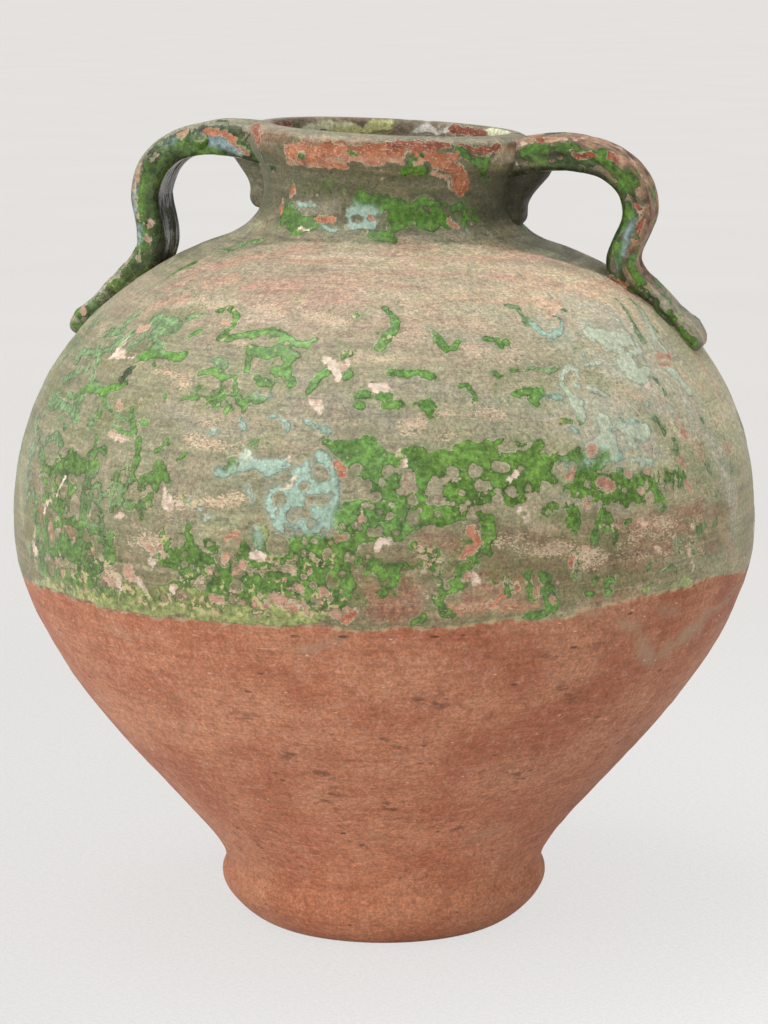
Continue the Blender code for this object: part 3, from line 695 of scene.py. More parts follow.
# Regions that a broken network of flakes covers: colour, density, soft edge in pixels, strokes
COVERS = [
    ("fern", 0.80, 7, """
    7 37,498 34,520 38,548; 7 46,520 50,548; 6 58,500 62,520; 7 88,478 98,500"""),
    ("matt", 0.72, 7, """
    6 33,440 30,470 33,492; 6 27,476 28,500; 5 41,430 38,452; 5 26,540 34,566"""),
    ("moss", 0.40, 9, "10 60,480 66,520; 9 95,480 100,520; 10 70,550 100,560; 8 190,560 215,575"),
    ("fern", 0.66, 8, """
    13 58,462 58,500 62,540; 13 92,460 88,500 84,540; 11 36,500 40,540; 12 80,565 100,585 130,595;
    11 120,475 116,500"""),
    ("fern", 0.82, 8, """
    12 42,545 70,552 98,566; 11 38,565 60,578 90,586; 9 100,590 125,597; 10 112,540 108,560;
    9 80,520 100,535"""),
    ("fern", 0.56, 8, """
    12 137,452 134,485 152,490; 9 160,470 165,480; 10 100,585 150,600; 9 45,470 40,450"""),
    ("fern", 0.90, 7, """
    11 164,558 190,555 215,572 240,575; 9 188,535 190,550; 11 190,585 230,590 260,585; 8 166,535 167,550"""),
    ("moss", 0.34, 8, """
    10 256,575 300,580; 9 360,470 392,505; 9 458,478 540,480; 8 590,485 640,488; 8 80,545 100,575;
    8 60,470 90,500"""),
    ("grass", 0.96, 8, """
    14 250,590 300,585 335,590; 12 255,560 290,550 330,550; 12 330,575 340,600; 9 262,540 270,548"""),
    ("herb", 1.00, 8, """
    14 372,460 385,480 400,495; 14 345,518 380,515 415,512; 12 345,450 365,448;
    10 405,455 422,470 425,490; 11 395,532 350,534; 10 425,515 450,512"""),
    ("grass", 0.55, 9, """
    12 360,560 385,575 410,565; 10 365,600 395,590; 10 430,550 440,580; 9 470,545 480,560"""),
    ("grass", 0.98, 7, """
    12 430,470 440,460; 12 452,465 480,470 515,470 545,465; 12 452,492 490,490 530,484;
    9 485,515 488,535; 9 460,450 490,448"""),
    ("grass", 0.72, 7, """
    11 572,465 600,478 640,478 680,480; 11 580,492 620,495 655,497; 8 572,510 575,525; 8 602,515 605,530;
    8 560,460 600,458"""),
    ("grass", 0.66, 6, """
    10 545,590 550,605; 8 440,600 446,590; 8 500,580 510,590; 8 528,582 532,592; 7 545,615 530,617;
    7 575,560 577,570"""),
    ("sky", 0.86, 6, """
    14 292,500 318,505; 10 325,470 332,500; 9 300,475 306,490; 9 320,525 290,526; 7 245,466 285,464"""),
    ("mint", 0.46, 10, """
    14 600,345 640,365 650,385; 12 570,385 600,395; 12 615,445 660,455; 10 560,330 600,345;
    12 640,400 690,420"""),
    ("matt", 0.40, 10, """
    14 70,350 110,345; 12 60,380 90,370; 14 60,420 90,430; 10 120,340 165,330; 12 45,440 35,480;
    14 100,410 140,430"""),
    ("leaf", 0.42, 8, """
    11 215,330 260,335 300,345; 11 250,365 285,375; 10 205,385 240,400; 9 140,360 170,362;
    9 190,400 250,405; 8 360,445 330,447"""),
    ("leaf", 0.30, 9, """
    12 300,355 340,350; 10 370,330 395,335; 10 430,345 460,350; 12 500,385 545,395; 10 350,400 430,405;
    9 250,440 320,440"""),
    ("matt", 0.30, 10, """
    14 660,520 720,500; 14 690,470 735,470; 14 640,545 720,550; 12 700,420 710,440; 12 600,545 620,560"""),
    ("fern", 0.62, 6, "8 120,590 160,596 200,604 250,612 300,612; 8 210,545 240,560"),
    ("lime", 0.80, 6, """
    7 36,582 60,588 84,596; 8 110,590 150,598 190,604; 7 196,602 250,612; 6 280,612 330,616"""),
    ("lime", 0.92, 5, """
    7 84,596 104,603 125,607; 7 128,607 152,611 176,614; 7 198,615 228,619 252,620;
    6 275,620 302,620 325,618; 5 60,585 75,592"""),
    ("lime", 0.60, 6, """
    7 120,592 160,592 200,598; 6 225,603 270,608; 5 35,580 55,585; 6 640,590 690,580"""),
    ("deep", 0.84, 6, """
    9 285,214 298,224 318,222; 11 365,202 392,205 404,222; 10 412,212 432,222; 8 438,210 446,222;
    7 372,235 392,238; 7 412,160 412,168; 7 462,152 480,165"""),
    ("deep", 0.36, 8, """
    12 290,215 330,225; 14 420,200 470,215; 10 470,160 485,175; 12 300,190 340,190"""),
    ("fern", 0.80, 5, """
    4 206,252 222,248 232,250 244,245; 3.5 240,242 264,238; 3 168,277 180,268 192,262"""),
    ("matt", 0.55, 6, """
    6 170,262 200,254 235,245; 5 240,244 262,240; 6 82,318 110,298; 5 540,250 600,275"""),
]

# Round bites out of the flakes
BITES = """
    3.6 355,219 361,219; 2.6 371,219; 5.5 226,322; 5.5 256,343 266,344; 6 243,388; 7 318,470 323,476;
    5 305,487; 5.5 314,500 326,500; 5 280,497; 5.5 294,512 306,514; 5 312,524; 5 299,534; 12 278,545;
    13 352,488; 7 356,470; 6 388,471; 5 376,497; 4 400,491; 4 363,519; 5 371,533 378,533; 3 388,518;
    4.5 338,538 345,538; 4 395,533; 7 452,473; 7 475,471; 6 496,466 504,466; 6 511,491;
    5.5 478,485 485,486; 4 462,493; 4 463,508; 6 487,508 494,509; 8 606,485; 4.5 588,484; 6 569,476;
    5 573,466; 5 641,491; 6 628,472; 5 646,470; 4 661,471; 7 668,488; 5 685,488; 7 584,508 586,516;
    6 606,538; 3.5 552,598; 6 434,482 436,500; 5 430,490; 5 405,478 407,490; 4 83,477; 3 86,492;
    4 96,492; 5 58,480; 4 78,517; 3.5 66,508; 3.5 91,521; 4 49,528; 3.5 99,537; 3.5 63,532; 3 74,541;
    4 145,470; 4 148,488; 5 124,478; 3 109,490; 4 116,497; 3.5 136,495; 4 180,545; 3.5 290,569;
    3.5 310,571; 5 297,587; 3.5 313,585; 5 288,605; 3.5 254,603; 5 336,613; 3.5 320,601; 4 267,604;
    5 300,605; 4 520,470; 4 528,488; 4 497,490; 3.5 625,490; 4 382,483; 3.5 392,505; 3.5 365,505;
    4 355,525; 3 402,518; 3 380,512; 3 330,552; 3 312,556; 3.5 343,575; 3 303,553"""

# Chips down to the slip or the clay: colour, strokes
CHIPS = [
    ("slip", """
    1.2 300,226 308,231; 5 330,365 340,369; 4 336,374 337,380; 3 348,361 344,366; 2.5 322,358 326,362;
    5 379,386 385,387; 2.5 374,384 389,389; 5 314,404 320,406; 5 119,351 124,353; 2 112,357 117,354;
    2 125,356 132,360; 1.6 124,348 128,340; 2 112,433 118,438; 2 119,437 125,439; 2.4 165,492 167,500;
    6 168,501 170,506; 2.6 174,503 184,504; 2 170,508 173,514; 3 118,514 121,514; 1.3 65,477 60,488;
    1.3 60,488 55,498; 1.6 50,502 46,509; 1.2 46,509 41,516; 1.6 33,538 35,545; 3 33,543 37,549;
    4 256,552 262,556; 2.5 288,457 291,462; 2 296,477 292,482; 1.4 289,486 283,488; 4 376,548 380,544;
    2 384,544 389,542; 1.2 431,585 430,591 428,599; 2.5 404,465 407,459; 2.5 512,475 516,473;
    1.5 527,521 528,518; 3 521,508 526,508; 1.6 687,546 690,556; 2.2 691,560 693,570;
    2.5 149,562 153,566; 3 137,577 143,583; 3 119,582 121,590; 1.5 398,454 400,450; 3 172,588 174,592;
    1.2 283,570 295,573; 1.5 355,525 359,514 362,510; 3 648,389 652,387; 3 472,575 478,582;
    1.3 472,571 475,586"""),
    ("flesh", """
    3 290,158 310,160 330,160; 2.5 345,158 372,157; 2.5 385,159 405,160; 1.6 288,152 290,161 300,160;
    1.5 310,163 330,161 344,158; 1.6 372,160 388,159 400,158; 1.6 430,170 444,178 448,186; 2.2 216,596;
    2 232,592; 2 154,600; 2.4 176,588; 1.8 118,600; 2 196,606; 2.2 258,614; 1.8 300,592; 2 330,606;
    2 84,590; 1.6 66,560; 2 74,540; 2.2 92,552; 2 58,520; 1.8 48,556; 2 110,572; 4.5 139,331 144,329;
    3 225,322 228,324; 3 118,405 121,409; 2.5 141,402 142,400; 3 164,558 158,545; 5 128,567 131,575;
    3 104,577 112,585; 4 148,546 152,552; 3 240,566 234,574 245,563; 3 206,567 211,571;
    3 229,553 224,560; 2.4 36,560 38,568; 3.5 290,569; 3 310,571; 5 297,587; 2.5 313,585; 2 284,581;
    3 274,597 282,601; 3.5 288,605 294,608; 2.6 254,603; 2.6 267,604; 3 302,604 306,611; 3 310,615;
    3 320,601; 5 336,613; 4 347,609; 5 212,599 220,601; 3 240,601; 3 322,589 327,591; 2 345,556;
    5 658,358 668,355; 2.5 661,366 668,367; 1.6 692,376 698,383 705,392; 4 681,432 686,433;
    4 724,446 730,453; 3 681,458 685,467; 3.5 552,598; 3 706,531; 4 592,455 594,450; 3.5 569,476 572,470;
    6 603,482 608,488; 3 641,491; 3 626,471 630,474; 3 685,485 689,489; 2.5 644,471; 2.5 660,471;
    3 585,506 584,500; 2.2 33,525 34,530; 3 51,524 52,534; 2 56,556 57,562; 2 63,572 65,577; 2 186,596;
    2 165,598; 2 145,588; 2.4 240,540"""),
    ("peach", """
    6 541,304 550,308 555,303; 3 547,316 553,311; 4 141,331 146,329; 2 113,432 118,437;
    2 120,438 126,440; 2.2 640,520 646,524; 2 668,536 674,538; 2 612,524 618,526; 1.8 690,524 694,528;
    1.8 655,548 660,550; 2 585,548 590,550"""),
    ("salmon", """
    4 338,466 344,472; 3 343,476 346,468; 2.6 170,541 172,545; 2.5 229,537 240,536; 2 361,519;
    4 470,530 478,540 470,551; 3.5 462,555 466,549; 1.8 458,609 466,607; 2 486,607 498,604;
    1.8 512,608 520,606; 1.6 534,586 535,594; 1.6 516,584 514,592; 1.6 497,600 505,597;
    3 573,558 572,568; 5 345,619 352,615; 3 470,577 464,582; 3 318,219 333,220; 2.5 371,219;
    3.5 290,196 294,191; 3 281,206 282,210; 2.5 448,219 456,227; 2 263,131 256,138"""),
    ("coral", """
    8 290,149 310,152 335,151; 8 335,151 362,151 380,151; 6 372,154 400,154 425,156;
    8 428,158 440,162 450,168; 8 450,168 458,178 460,186; 5 300,160 345,162; 5 440,153 455,158;
    5 366,160 385,160"""),
    ("flesh", """
    2 296,160 312,163; 2 330,163 350,160; 1.6 356,157 376,157; 1.5 300,148 304,156; 1.4 322,150 322,160;
    1.4 340,152 341,160; 1.4 362,152 360,160; 1.6 414,162 426,164; 1.6 432,170 444,180;
    1.6 448,186 452,190; 1.2 386,150 386,158; 1.2 404,150 405,157"""),
    ("brick", """
    6 450,170 458,184; 2 308,144 309,150; 2 330,143 331,149; 2 352,144 352,150; 2 370,143 371,150;
    4 376,147 410,148 440,148; 3 300,152 308,156; 3 326,150 336,154; 3 418,152 430,156;
    4 444,160 452,168; 4 402,146 425,146 446,146; 4 380,153 392,152; 3.2 462,148 484,151;
    3 484,148 500,145; 1.4 428,566 421,571; 1.3 437,598 435,592; 2 590,545 585,547"""),
]

# Places on the lip where glaze is left on the bare clay
KEPT = """
    4 301,154 304,155; 4 349,150 354,152; 5 410,162 416,168; 4 408,157 420,158; 5 462,152 472,157;
    4 440,150 452,151"""

# Soft tints of the ground: colour, soft edge in pixels, strength, strokes
TONES = [
    ("pink", 5, 0.50, "4 255,128 275,126 290,130; 3 258,140 275,146; 4 480,148 500,146"),
    ("rust", 6, 0.70, """
    5 252,134 270,131 290,134; 5 300,138 340,140 380,141; 4 262,128 250,132; 4 250,125 262,122;
    5 500,150 515,150; 4 610,270 640,284; 4 600,272 620,280"""),
    ("dusk", 5, 0.80, "6 260,145 286,150; 5 256,153 278,158"),
    ("olive", 6, 0.75, "5 480,160 500,166"),
    ("brick", 3, 0.60, """
    2 256,134 268,142; 2 268,133 282,142; 1.6 262,148 274,153; 2 282,138 288,146"""),
    ("ash", 7, 0.50, """
    8 300,210 332,208; 7 336,236 364,240; 8 440,232 490,238 530,243; 7 246,224 262,234;
    6 395,238 430,240"""),
    # The first two cream strokes run along the lip's front top edge: partly pale glaze, partly a painted
    # highlight.
    ("cream", 5, 0.55, """
    3 300,137 350,138 400,139; 3 430,140 470,141 500,141; 3 492,158 505,150; 5 500,160 512,158"""),
    ("dusk", 6, 0.60, "9 262,232 300,238 340,240; 8 480,236 520,240 560,254; 6 590,268 620,278"),
    ("rose", 8, 0.80, """
    8 214,268 240,259 262,255; 9 205,285 228,280; 8 244,288 268,285 300,286; 7 152,307 182,299;
    5 190,272 204,268; 4 300,262 330,262; 5 168,288 186,282"""),
    ("pink", 10, 0.75, """
    8 280,251 312,249; 6 400,247 430,249; 7 486,250 515,252 543,260; 7 492,278 525,279 557,284;
    5 545,262 572,268; 5 400,266 428,268; 5 585,277 612,287 632,296; 4 330,300 345,298;
    4 420,309 432,310; 5 268,310 280,312"""),
    ("mauve", 8, 0.60, "8 496,262 540,264 572,270"),
    ("cream", 6, 0.85, """
    9 340,255 384,259 430,258; 7 296,256 330,255 375,256; 6 330,266 385,268; 5 180,305 205,304;
    5 215,300 235,305; 5 305,318 345,324; 6 250,315 275,318; 5 350,357 400,356; 4 470,355 520,352;
    4 600,350 640,330; 5 600,310 625,318; 4 395,375 400,380"""),
    ("grey", 9, 0.55, """
    12 330,400 400,425; 12 400,380 480,400; 10 290,400 300,440; 12 430,335 500,345; 10 300,380 330,440;
    12 480,420 560,425; 10 200,420 260,440; 10 160,400 200,430; 9 520,360 560,372; 9 250,320 290,325;
    10 560,500 620,510"""),
    ("mauve", 8, 0.60, """
    8 185,355 190,390; 9 195,345 215,360; 8 325,345 340,345; 6 215,390 230,388; 8 300,370 305,372;
    8 300,410 340,415; 8 405,470 410,490; 8 440,480 445,505; 7 470,470 500,470; 6 510,490; 6 590,510;
    6 665,490 610,508; 8 180,520 200,530"""),
    ("sage", 10, 0.65, """
    14 30,440 30,520; 16 60,400 60,350 90,330; 14 60,440 100,420 150,400; 16 50,480 60,540;
    12 110,360 160,345; 10 200,310 150,320; 12 90,560 60,580; 10 120,500 110,540"""),
    ("olive", 10, 0.80, """
    12 460,545 500,535; 13 530,545 570,550; 12 500,570 560,572; 10 600,560 640,570; 9 600,540 640,545;
    8 375,560 400,580; 8 355,575 360,600; 8 440,570 445,575; 7 560,520 600,520; 8 330,570 345,600;
    9 575,585 620,585"""),
    ("rust", 7, 0.75, """
    9 372,590 376,616; 9 395,588 396,618; 8 412,590 412,614; 7 392,572 404,580; 5 460,590 470,600"""),
    ("brick", 4, 0.75, """
    3 380,590 382,616; 3 391,586 394,618; 3 403,590 404,614; 2.5 413,594 414,610; 2 370,600 372,614;
    2 398,572 402,582"""),
    ("salmon", 4, 0.50, """
    2 386,600 388,614; 2 408,596 408,606; 2 375,596 377,604; 2 398,606 399,618; 3 330,545 340,540"""),
    # Where these strokes follow the jar's left and right outlines they are partly painted sheen, the pale
    # blue-grey of light grazing the glaze.
    ("fog", 12, 0.55, """
    14 694,400 716,450; 12 722,470 735,530; 12 650,395 690,430; 10 590,400 640,410; 12 655,340 690,370;
    10 560,345 600,380; 8 30,440 24,500; 7 44,390 60,350; 7 80,322 120,292"""),
    ("veil", 12, 0.65, """
    13 596,325 650,345; 13 590,360 655,385; 11 600,400 655,415; 10 560,310 590,330; 9 610,430 650,445"""),
    ("olive", 8, 0.50, "10 36,470 38,530; 8 50,520 60,545; 8 56,480 70,500"),
    ("mauve", 7, 0.55, """
    7 38,478 42,500; 7 52,505 58,530; 6 76,500 80,520; 6 60,440 64,462; 7 104,470 112,520"""),
    ("stone", 7, 0.55, "6 19,470 18,520 23,560; 6 24,430 20,460"),
    ("haze", 8, 0.70, "9 186,538 216,546; 8 200,520 230,526"),
    ("fog", 10, 0.40, "12 480,310 545,345; 10 500,400 560,410"),
    ("olive", 12, 0.45, """
    14 590,545 640,540 690,530; 12 560,580 640,578; 12 420,555 540,560; 10 350,560 400,590;
    10 700,545 725,520"""),
    ("umber", 9, 0.60, """
    9 480,525 560,545; 9 500,560 560,570; 8 385,535 450,540; 8 400,560 440,575; 8 590,522 640,530;
    7 560,600 600,596"""),
    ("salmon", 5, 0.75, """
    6 452,609 470,606 498,603; 6 508,607 532,605; 5 533,584 535,597; 4 516,582 514,595;
    4 497,598 507,595; 3 478,590 492,586"""),
    ("flesh", 4, 0.70, """
    2.5 460,604 476,602; 2.5 500,600 512,602; 2.5 536,590 537,600; 2 344,612 362,616; 2 430,618 452,616"""),
    ("brick", 3, 0.70, """
    2 482,574 498,579; 2 488,592 500,592; 2 524,596 530,600; 2 466,600 480,598; 2 470,536 472,548"""),
    ("rust", 7, 0.75, """
    5 640,532 690,525; 5 630,552 690,548; 4 610,528 700,508; 5 690,560 720,540; 4 600,560 660,566"""),
    ("olive", 5, 0.70, """
    5 640,541 690,538; 4 610,540 650,522; 4 650,556 700,552; 4 690,515 725,505"""),
    ("rust", 8, 0.55, """
    8 640,545 680,545; 8 620,530 700,505; 6 380,595 420,605; 6 90,560 60,520; 6 40,500 40,540;
    7 590,600 640,590; 5 700,450 690,400; 7 450,545 420,540; 5 700,520 740,500"""),
    ("mint", 9, 0.50, """
    12 585,325 625,345; 12 620,370 650,385; 12 600,420 620,455; 10 620,430 650,440; 10 560,395 590,410;
    9 540,320 565,335; 8 680,400 700,430"""),
    ("pale", 12, 0.70, """
    14 560,300 620,320; 14 640,360 700,420; 12 700,430 735,500; 12 560,420 600,440"""),
    ("pink", 7, 0.50, """
    5 660,400 700,460; 5 690,350 720,400; 5 650,440 640,520; 6 700,500 735,560; 6 380,250 440,262;
    5 330,280 400,284"""),
    ("cream", 6, 0.55, "6 370,262 430,268 470,262; 5 440,290 500,296; 5 360,292 420,300"),
    ("pale", 9, 0.55, """
    12 600,330 640,345; 12 590,360 640,380; 9 560,330 580,345; 10 640,395 665,410; 8 570,300 610,310;
    10 600,440 660,450"""),
    # Where these strokes follow the jar's left and right outlines they are partly painted sheen, the pale
    # blue-grey of light grazing the glaze.
    ("haze", 9, 0.70, """
    10 25,440 22,520; 9 36,400 60,360; 9 80,330 110,305; 12 600,330 640,370; 12 640,410 680,450;
    9 600,390 580,350; 10 690,360 660,320; 9 715,430 735,470; 8 740,500 735,560; 8 705,480 690,470;
    8 210,530 240,520; 7 690,560 720,570"""),
]

# Fine specks on the glaze
SPECKS = """
    8 140,600 200,606 260,608 330,606; 8 180,580 240,590 300,590; 7 255,560 330,560; 7 60,560 90,580;
    7 50,585 100,598; 9 255,310 300,315 345,322; 7 245,325 300,305; 8 350,357 410,358; 7 385,340 420,335;
    7 470,350 520,360; 7 215,345 245,348; 8 590,400 640,395; 7 160,370 190,385; 6 205,425 235,425;
    7 400,430 420,425; 7 440,415 500,412; 8 190,440 240,450; 9 180,500 240,500; 8 130,545 160,540;
    10 500,540 600,560; 10 620,540 700,545; 7 480,310 470,330; 8 100,560 130,590; 8 320,590 350,610;
    8 420,545 440,580; 6 690,400 700,430; 7 600,530 700,520; 6 620,552 700,545; 7 200,300 230,310;
    7 110,340 100,320; 6 440,440 450,437; 6 520,430 560,425"""

# Soot on the clay
SOOT = """
    9 290,755 310,770 330,775; 7 340,790 325,800; 4 232,714 244,716 262,718; 6 300,742 320,748;
    8 385,800 400,815; 6 345,845 360,848; 3 302,854; 3 325,800; 3 334,794; 6 380,740 400,750;
    7 440,820 460,830; 5 290,690 300,700; 6 500,770 520,775; 7 420,700 440,705; 4 398,870 404,874;
    6 560,690 575,695; 5 540,650 560,655; 5 600,640 612,648; 3 176,735"""

# Pale stains on the clay
STAINS = """
    16 700,625 680,640; 12 650,660 640,640; 14 668,648; 5 182,732; 8 640,628 620,624; 6 300,650 340,640;
    5 176,700; 9 700,620 735,590; 5 320,795; 5 305,852; 5 395,680; 4 660,610 690,612; 7 470,840 500,830;
    6 370,835 380,838; 5 100,620 130,640; 6 560,600 600,612"""

# What shows inside the mouth, on the far wall: layer, colour, strokes. Cress and citron are lighter than the
# glaze itself: painted light against the shade inside the mouth.
MOUTH = [
    ("flake", "cress", """
    5 308,127 328,124; 4 303,130 314,129; 4 336,124 350,123; 5 486,132 500,134"""),
    ("flake", "citron", "5 336,127 356,126; 5 366,126 388,124; 4 330,131 386,129"),
    ("flake", "white", "5 418,131 430,129; 4 432,131 448,130"),
    ("chip", "brick", "4 450,129 470,131; 4 470,132 486,134; 3 268,128 290,124"),
]

# The ragged lower edge of the glaze: (x, y) along it
GLAZE_EDGE = [
    (23, 578), (51, 589), (80, 599), (102, 608), (130, 612), (153, 615), (185, 620), (219, 622), (250, 625),
    (281, 627), (320, 625), (357, 631), (378, 632), (400, 628), (425, 629), (449, 628), (475, 625),
    (500, 621), (525, 619), (545, 621), (564, 619), (585, 610), (602, 607), (620, 602), (638, 598),
    (661, 593), (685, 588), (704, 578), (722, 575), (745, 571),
]

# The upper edge of the pale shoulder, where the darker glaze of the neck begins
NECK_EDGE = [
    (164, 278), (205, 262), (225, 248), (260, 244), (299, 241), (384, 243), (440, 243), (480, 247),
    (520, 252), (560, 262), (600, 275), (640, 292),
]

# Patches on the straps. The pale blue strokes are painted highlights: the sky reflected on the glaze.
HANDLE_FLAKES = {
    "left": [
        ("fern", "4 148,180 146,200; 4 200,152 215,152; 3 158,168 164,160"),
        ("moss", """
        7 163,170 152,190 149,210 153,235; 7 170,158 190,150 215,150 240,160; 6 152,240 142,255;
        5 175,160 160,185; 6 200,155 235,158; 6 155,160 150,175"""),
        ("fern", """
        5 150,165 142,190 142,215; 5 146,230 143,250 130,268; 6 165,150 180,143;
        5 115,280 100,294 88,304; 5 82,316 78,312; 5 200,150 180,152; 5 160,150 150,170; 4 75,322 80,325"""),
        ("deep", "5 250,150 262,158; 4 243,143 250,150"),
        ("gleam", """
        3.5 166,147 174,143; 3.4 200,140 214,142 228,145; 3 232,148 242,154; 1.5 137,172 134,190 135,212;
        1.4 140,228 141,244"""),
        ("matt", "3 128,272 112,288; 3 92,302 100,292"),
        ("fern", "3 143,186 142,214; 3 152,175 149,196"),
    ],
    "right": [
        ("deep", """
        5 522,153 544,148; 4 566,147 578,148; 6 585,155 605,160; 6 615,170 625,188; 5 628,205 624,225;
        5 620,245 618,262; 5 600,152 612,162; 4 633,262 640,275; 5 640,282 636,250; 5 682,330 695,342;
        4 675,320 670,312"""),
        ("moss", """
        4 560,160 590,162; 4 622,215 612,240; 4 625,195 618,205; 3 640,285 652,300 664,318 680,330;
        4 590,165 560,166"""),
        ("gleam", "1.5 630,222 626,238 623,256; 1.1 617,266 618,260"),
        ("matt", "3 655,280 668,300 685,318; 3 660,295 678,316"),
    ],
}
HANDLE_BITES = {
    "left": "3 150,221; 2.5 147,238",
    "right": """
        4.5 526,167 560,166 590,171; 3.5 553,153 561,157; 3 604,197 612,211; 3 640,205 641,235;
        2.5 632,240 636,252""",
}
HANDLE_CHIPS = {
    "left": [
        ("ash", """
        1.2 136,200 136,210; 1.5 152,160 158,155; 1.2 142,252 138,260; 1.5 118,274 110,281"""),
        ("flesh", """
        1.2 134,182 133,192; 1.2 139,213 138,219; 3 150,222 148,224; 3 147,238; 2.5 138,178 140,168;
        2.5 84,309 85,313; 3 180,136 184,133"""),
        ("salmon", "4 205,132 220,135 236,140; 2.4 240,150 235,145; 3 244,148 250,154"),
        ("slip", "1.6 150,219; 1.4 146,236; 2 238,158 244,160; 1.5 155,192"),
    ],
    "right": [
        ("flesh", """
        2.5 642,176 646,190; 2.5 601,141 618,149 630,160; 2 575,139 595,139; 3 550,139 562,139;
        4 703,338 705,346; 3 697,328 702,333; 2 640,250 639,256"""),
        ("brick", """
        2.5 705,331 707,344; 3 636,206 640,230; 3 575,155 590,156; 3 610,155 618,160; 3 626,283 608,278;
        3 520,138 540,140"""),
        ("slip", "1.2 505,160 512,150 520,143; 1.0 515,163 508,164"),
    ],
}

# How light the worn glaze is at angles from the front: partly its own wear, partly painted light that is
# lighter on the right, where the lamp falls less, and darker on the lit left. Then the neck's painted shade
# there, darkest on its right.
WEAR_AND_LIGHT_ANGLES = [-180, -90, -60, -30, 0, 25, 50, 80, 110, 180]
WEAR_AND_PAINTED_LIGHT = [0.95, 0.66, 0.66, 0.76, 0.90, 1.08, 1.44, 1.44, 1.08, 0.95]
NECK_SHADE_ANGLES = [-180, -90, -30, 0, 25, 60, 100, 180]
NECK_PAINTED_SHADE = [1.0, 1.0, 1.0, 1.15, 1.05, 0.50, 0.70, 1.0]

# Where a mesh attribute of each kind holds its values
ATTRIBUTE_FIELDS = {"FLOAT_COLOR": "color", "FLOAT_VECTOR": "vector", "FLOAT": "value"}


def parse(text):
    """(radius, points) of each stroke in a text."""
    for entry in filter(str.strip, text.split(";")):
        radius, *points = entry.split()
        yield float(radius), [tuple(float(value) for value in point.split(",")) for point in points]


def found_at(points, candidates):
    """(turn, along) of points in the photograph, on the skins that show there."""
    nearest = [min((skin.find(x, y) for skin in candidates), key=lambda found: found[2]) for x, y in points]
    return [found[:2] for found in nearest if found[2] < 6]


def work(kind, text, candidates, *settings):
    """Work each stroke of a text into the skins that it may lie on, as one kind of patch."""
    for radius, points in parse(text):
        stroke = found_at(points, candidates)
        if stroke:
            for skin in candidates:
                kind(skin, stroke, pixel_size(radius), *settings)


# Meshes

def add_object(name, data):
    """A new object in the scene."""
    item = bpy.data.objects.new(name, data)
    bpy.context.scene.collection.objects.link(item)
    return item


def grid_mesh(name, rows, loop=False):
    """A closed mesh from rows of points round a piece: a loop of rows, or a tube with a cap at each end."""
    count, columns = rows.shape[:2]
    index = np.arange(count * columns).reshape(count, columns)
    low, high = (index, np.roll(index, -1, axis=0)) if loop else (index[:-1], index[1:])
    faces = np.stack([low, np.roll(low, -1, axis=1), np.roll(high, -1, axis=1), high], -1)
    faces = faces.reshape(-1, 4).tolist()
    points = rows.reshape(-1, 3)
    if not loop:
        points = np.vstack([points, rows[[0, -1]].mean(1)])
        for ring, middle, order in ((index[0], count * columns, -1), (index[-1], count * columns + 1, 1)):
            pairs = zip(ring.tolist(), np.roll(ring, -1).tolist())
            faces += [(*pair[::order], middle) for pair in pairs]
    mesh = bpy.data.meshes.new(name)
    mesh.from_pydata(points.tolist(), [], faces)
    corners = points[np.array([face[:3] for face in faces])]
    if np.einsum("ij,ij->i", corners[:, 0], np.cross(corners[:, 1], corners[:, 2])).sum() < 0:
        mesh.flip_normals()
    mesh.shade_smooth()
    mesh.set_sharp_from_angle(angle=SHARP_ANGLE)
    return add_object(name, mesh)


def put(mesh, name, kind, values):
    """Store values of each point on a mesh; points past the end, such as a cap's, get the last one."""
    flat = values.reshape(-1, values.shape[-1])
    flat = np.vstack([flat, np.repeat(flat[-1:], len(mesh.vertices) - len(flat), axis=0)])
    if kind == "FLOAT_COLOR":
        flat = np.hstack([np.clip(flat, 0, 1), np.ones((len(flat), 1))])
    attribute = mesh.attributes.new(name, kind, "POINT")
    attribute.data.foreach_set(ATTRIBUTE_FIELDS[kind], flat.astype(np.float32).ravel())


def dress(item, sides, grain):
    """Give a mesh what its material reads on each of its sides' skins, and its grain directions."""
    for readings in zip(*(skin.readings() for skin in sides)):
        name, kind, _ = readings[0]
        put(item.data, name, kind, np.vstack([values for _, _, values in readings]))
    put(item.data, "grain", "FLOAT_VECTOR", grain)


def relief(skin):
    """How far paint layers stand proud, in metres."""
    glazed = ease(-0.6, 0.6, skin.glaze)
    flake = ease(-0.5, 0.7, np.minimum(skin.layers["flake"], skin.holes)) * glazed
    chip = ease(-0.5, 0.6, skin.layers["chip"])
    return MM * (GLAZE_RELIEF * glazed + FLAKE_RELIEF * flake - CHIP_RELIEF * chip)


# The turned pieces of the jar

def spun(pairs, turn):
    """Pairs of (across, up), one for each row, spun round the axis to each angle."""
    across, up = pairs[:, :1], pairs[:, 1:]
    return np.stack([across * np.cos(turn), across * np.sin(turn), up * np.ones_like(turn)], -1)


def jar_skin(travelled, columns):
    """The skin of the jar at distances along its section."""
    turn = np.arange(columns) * math.tau / columns
    pairs = section.at(travelled)
    return Skin(spun(pairs, turn), spun(section.facing(travelled), turn), travelled, pairs[:, 0], turn)


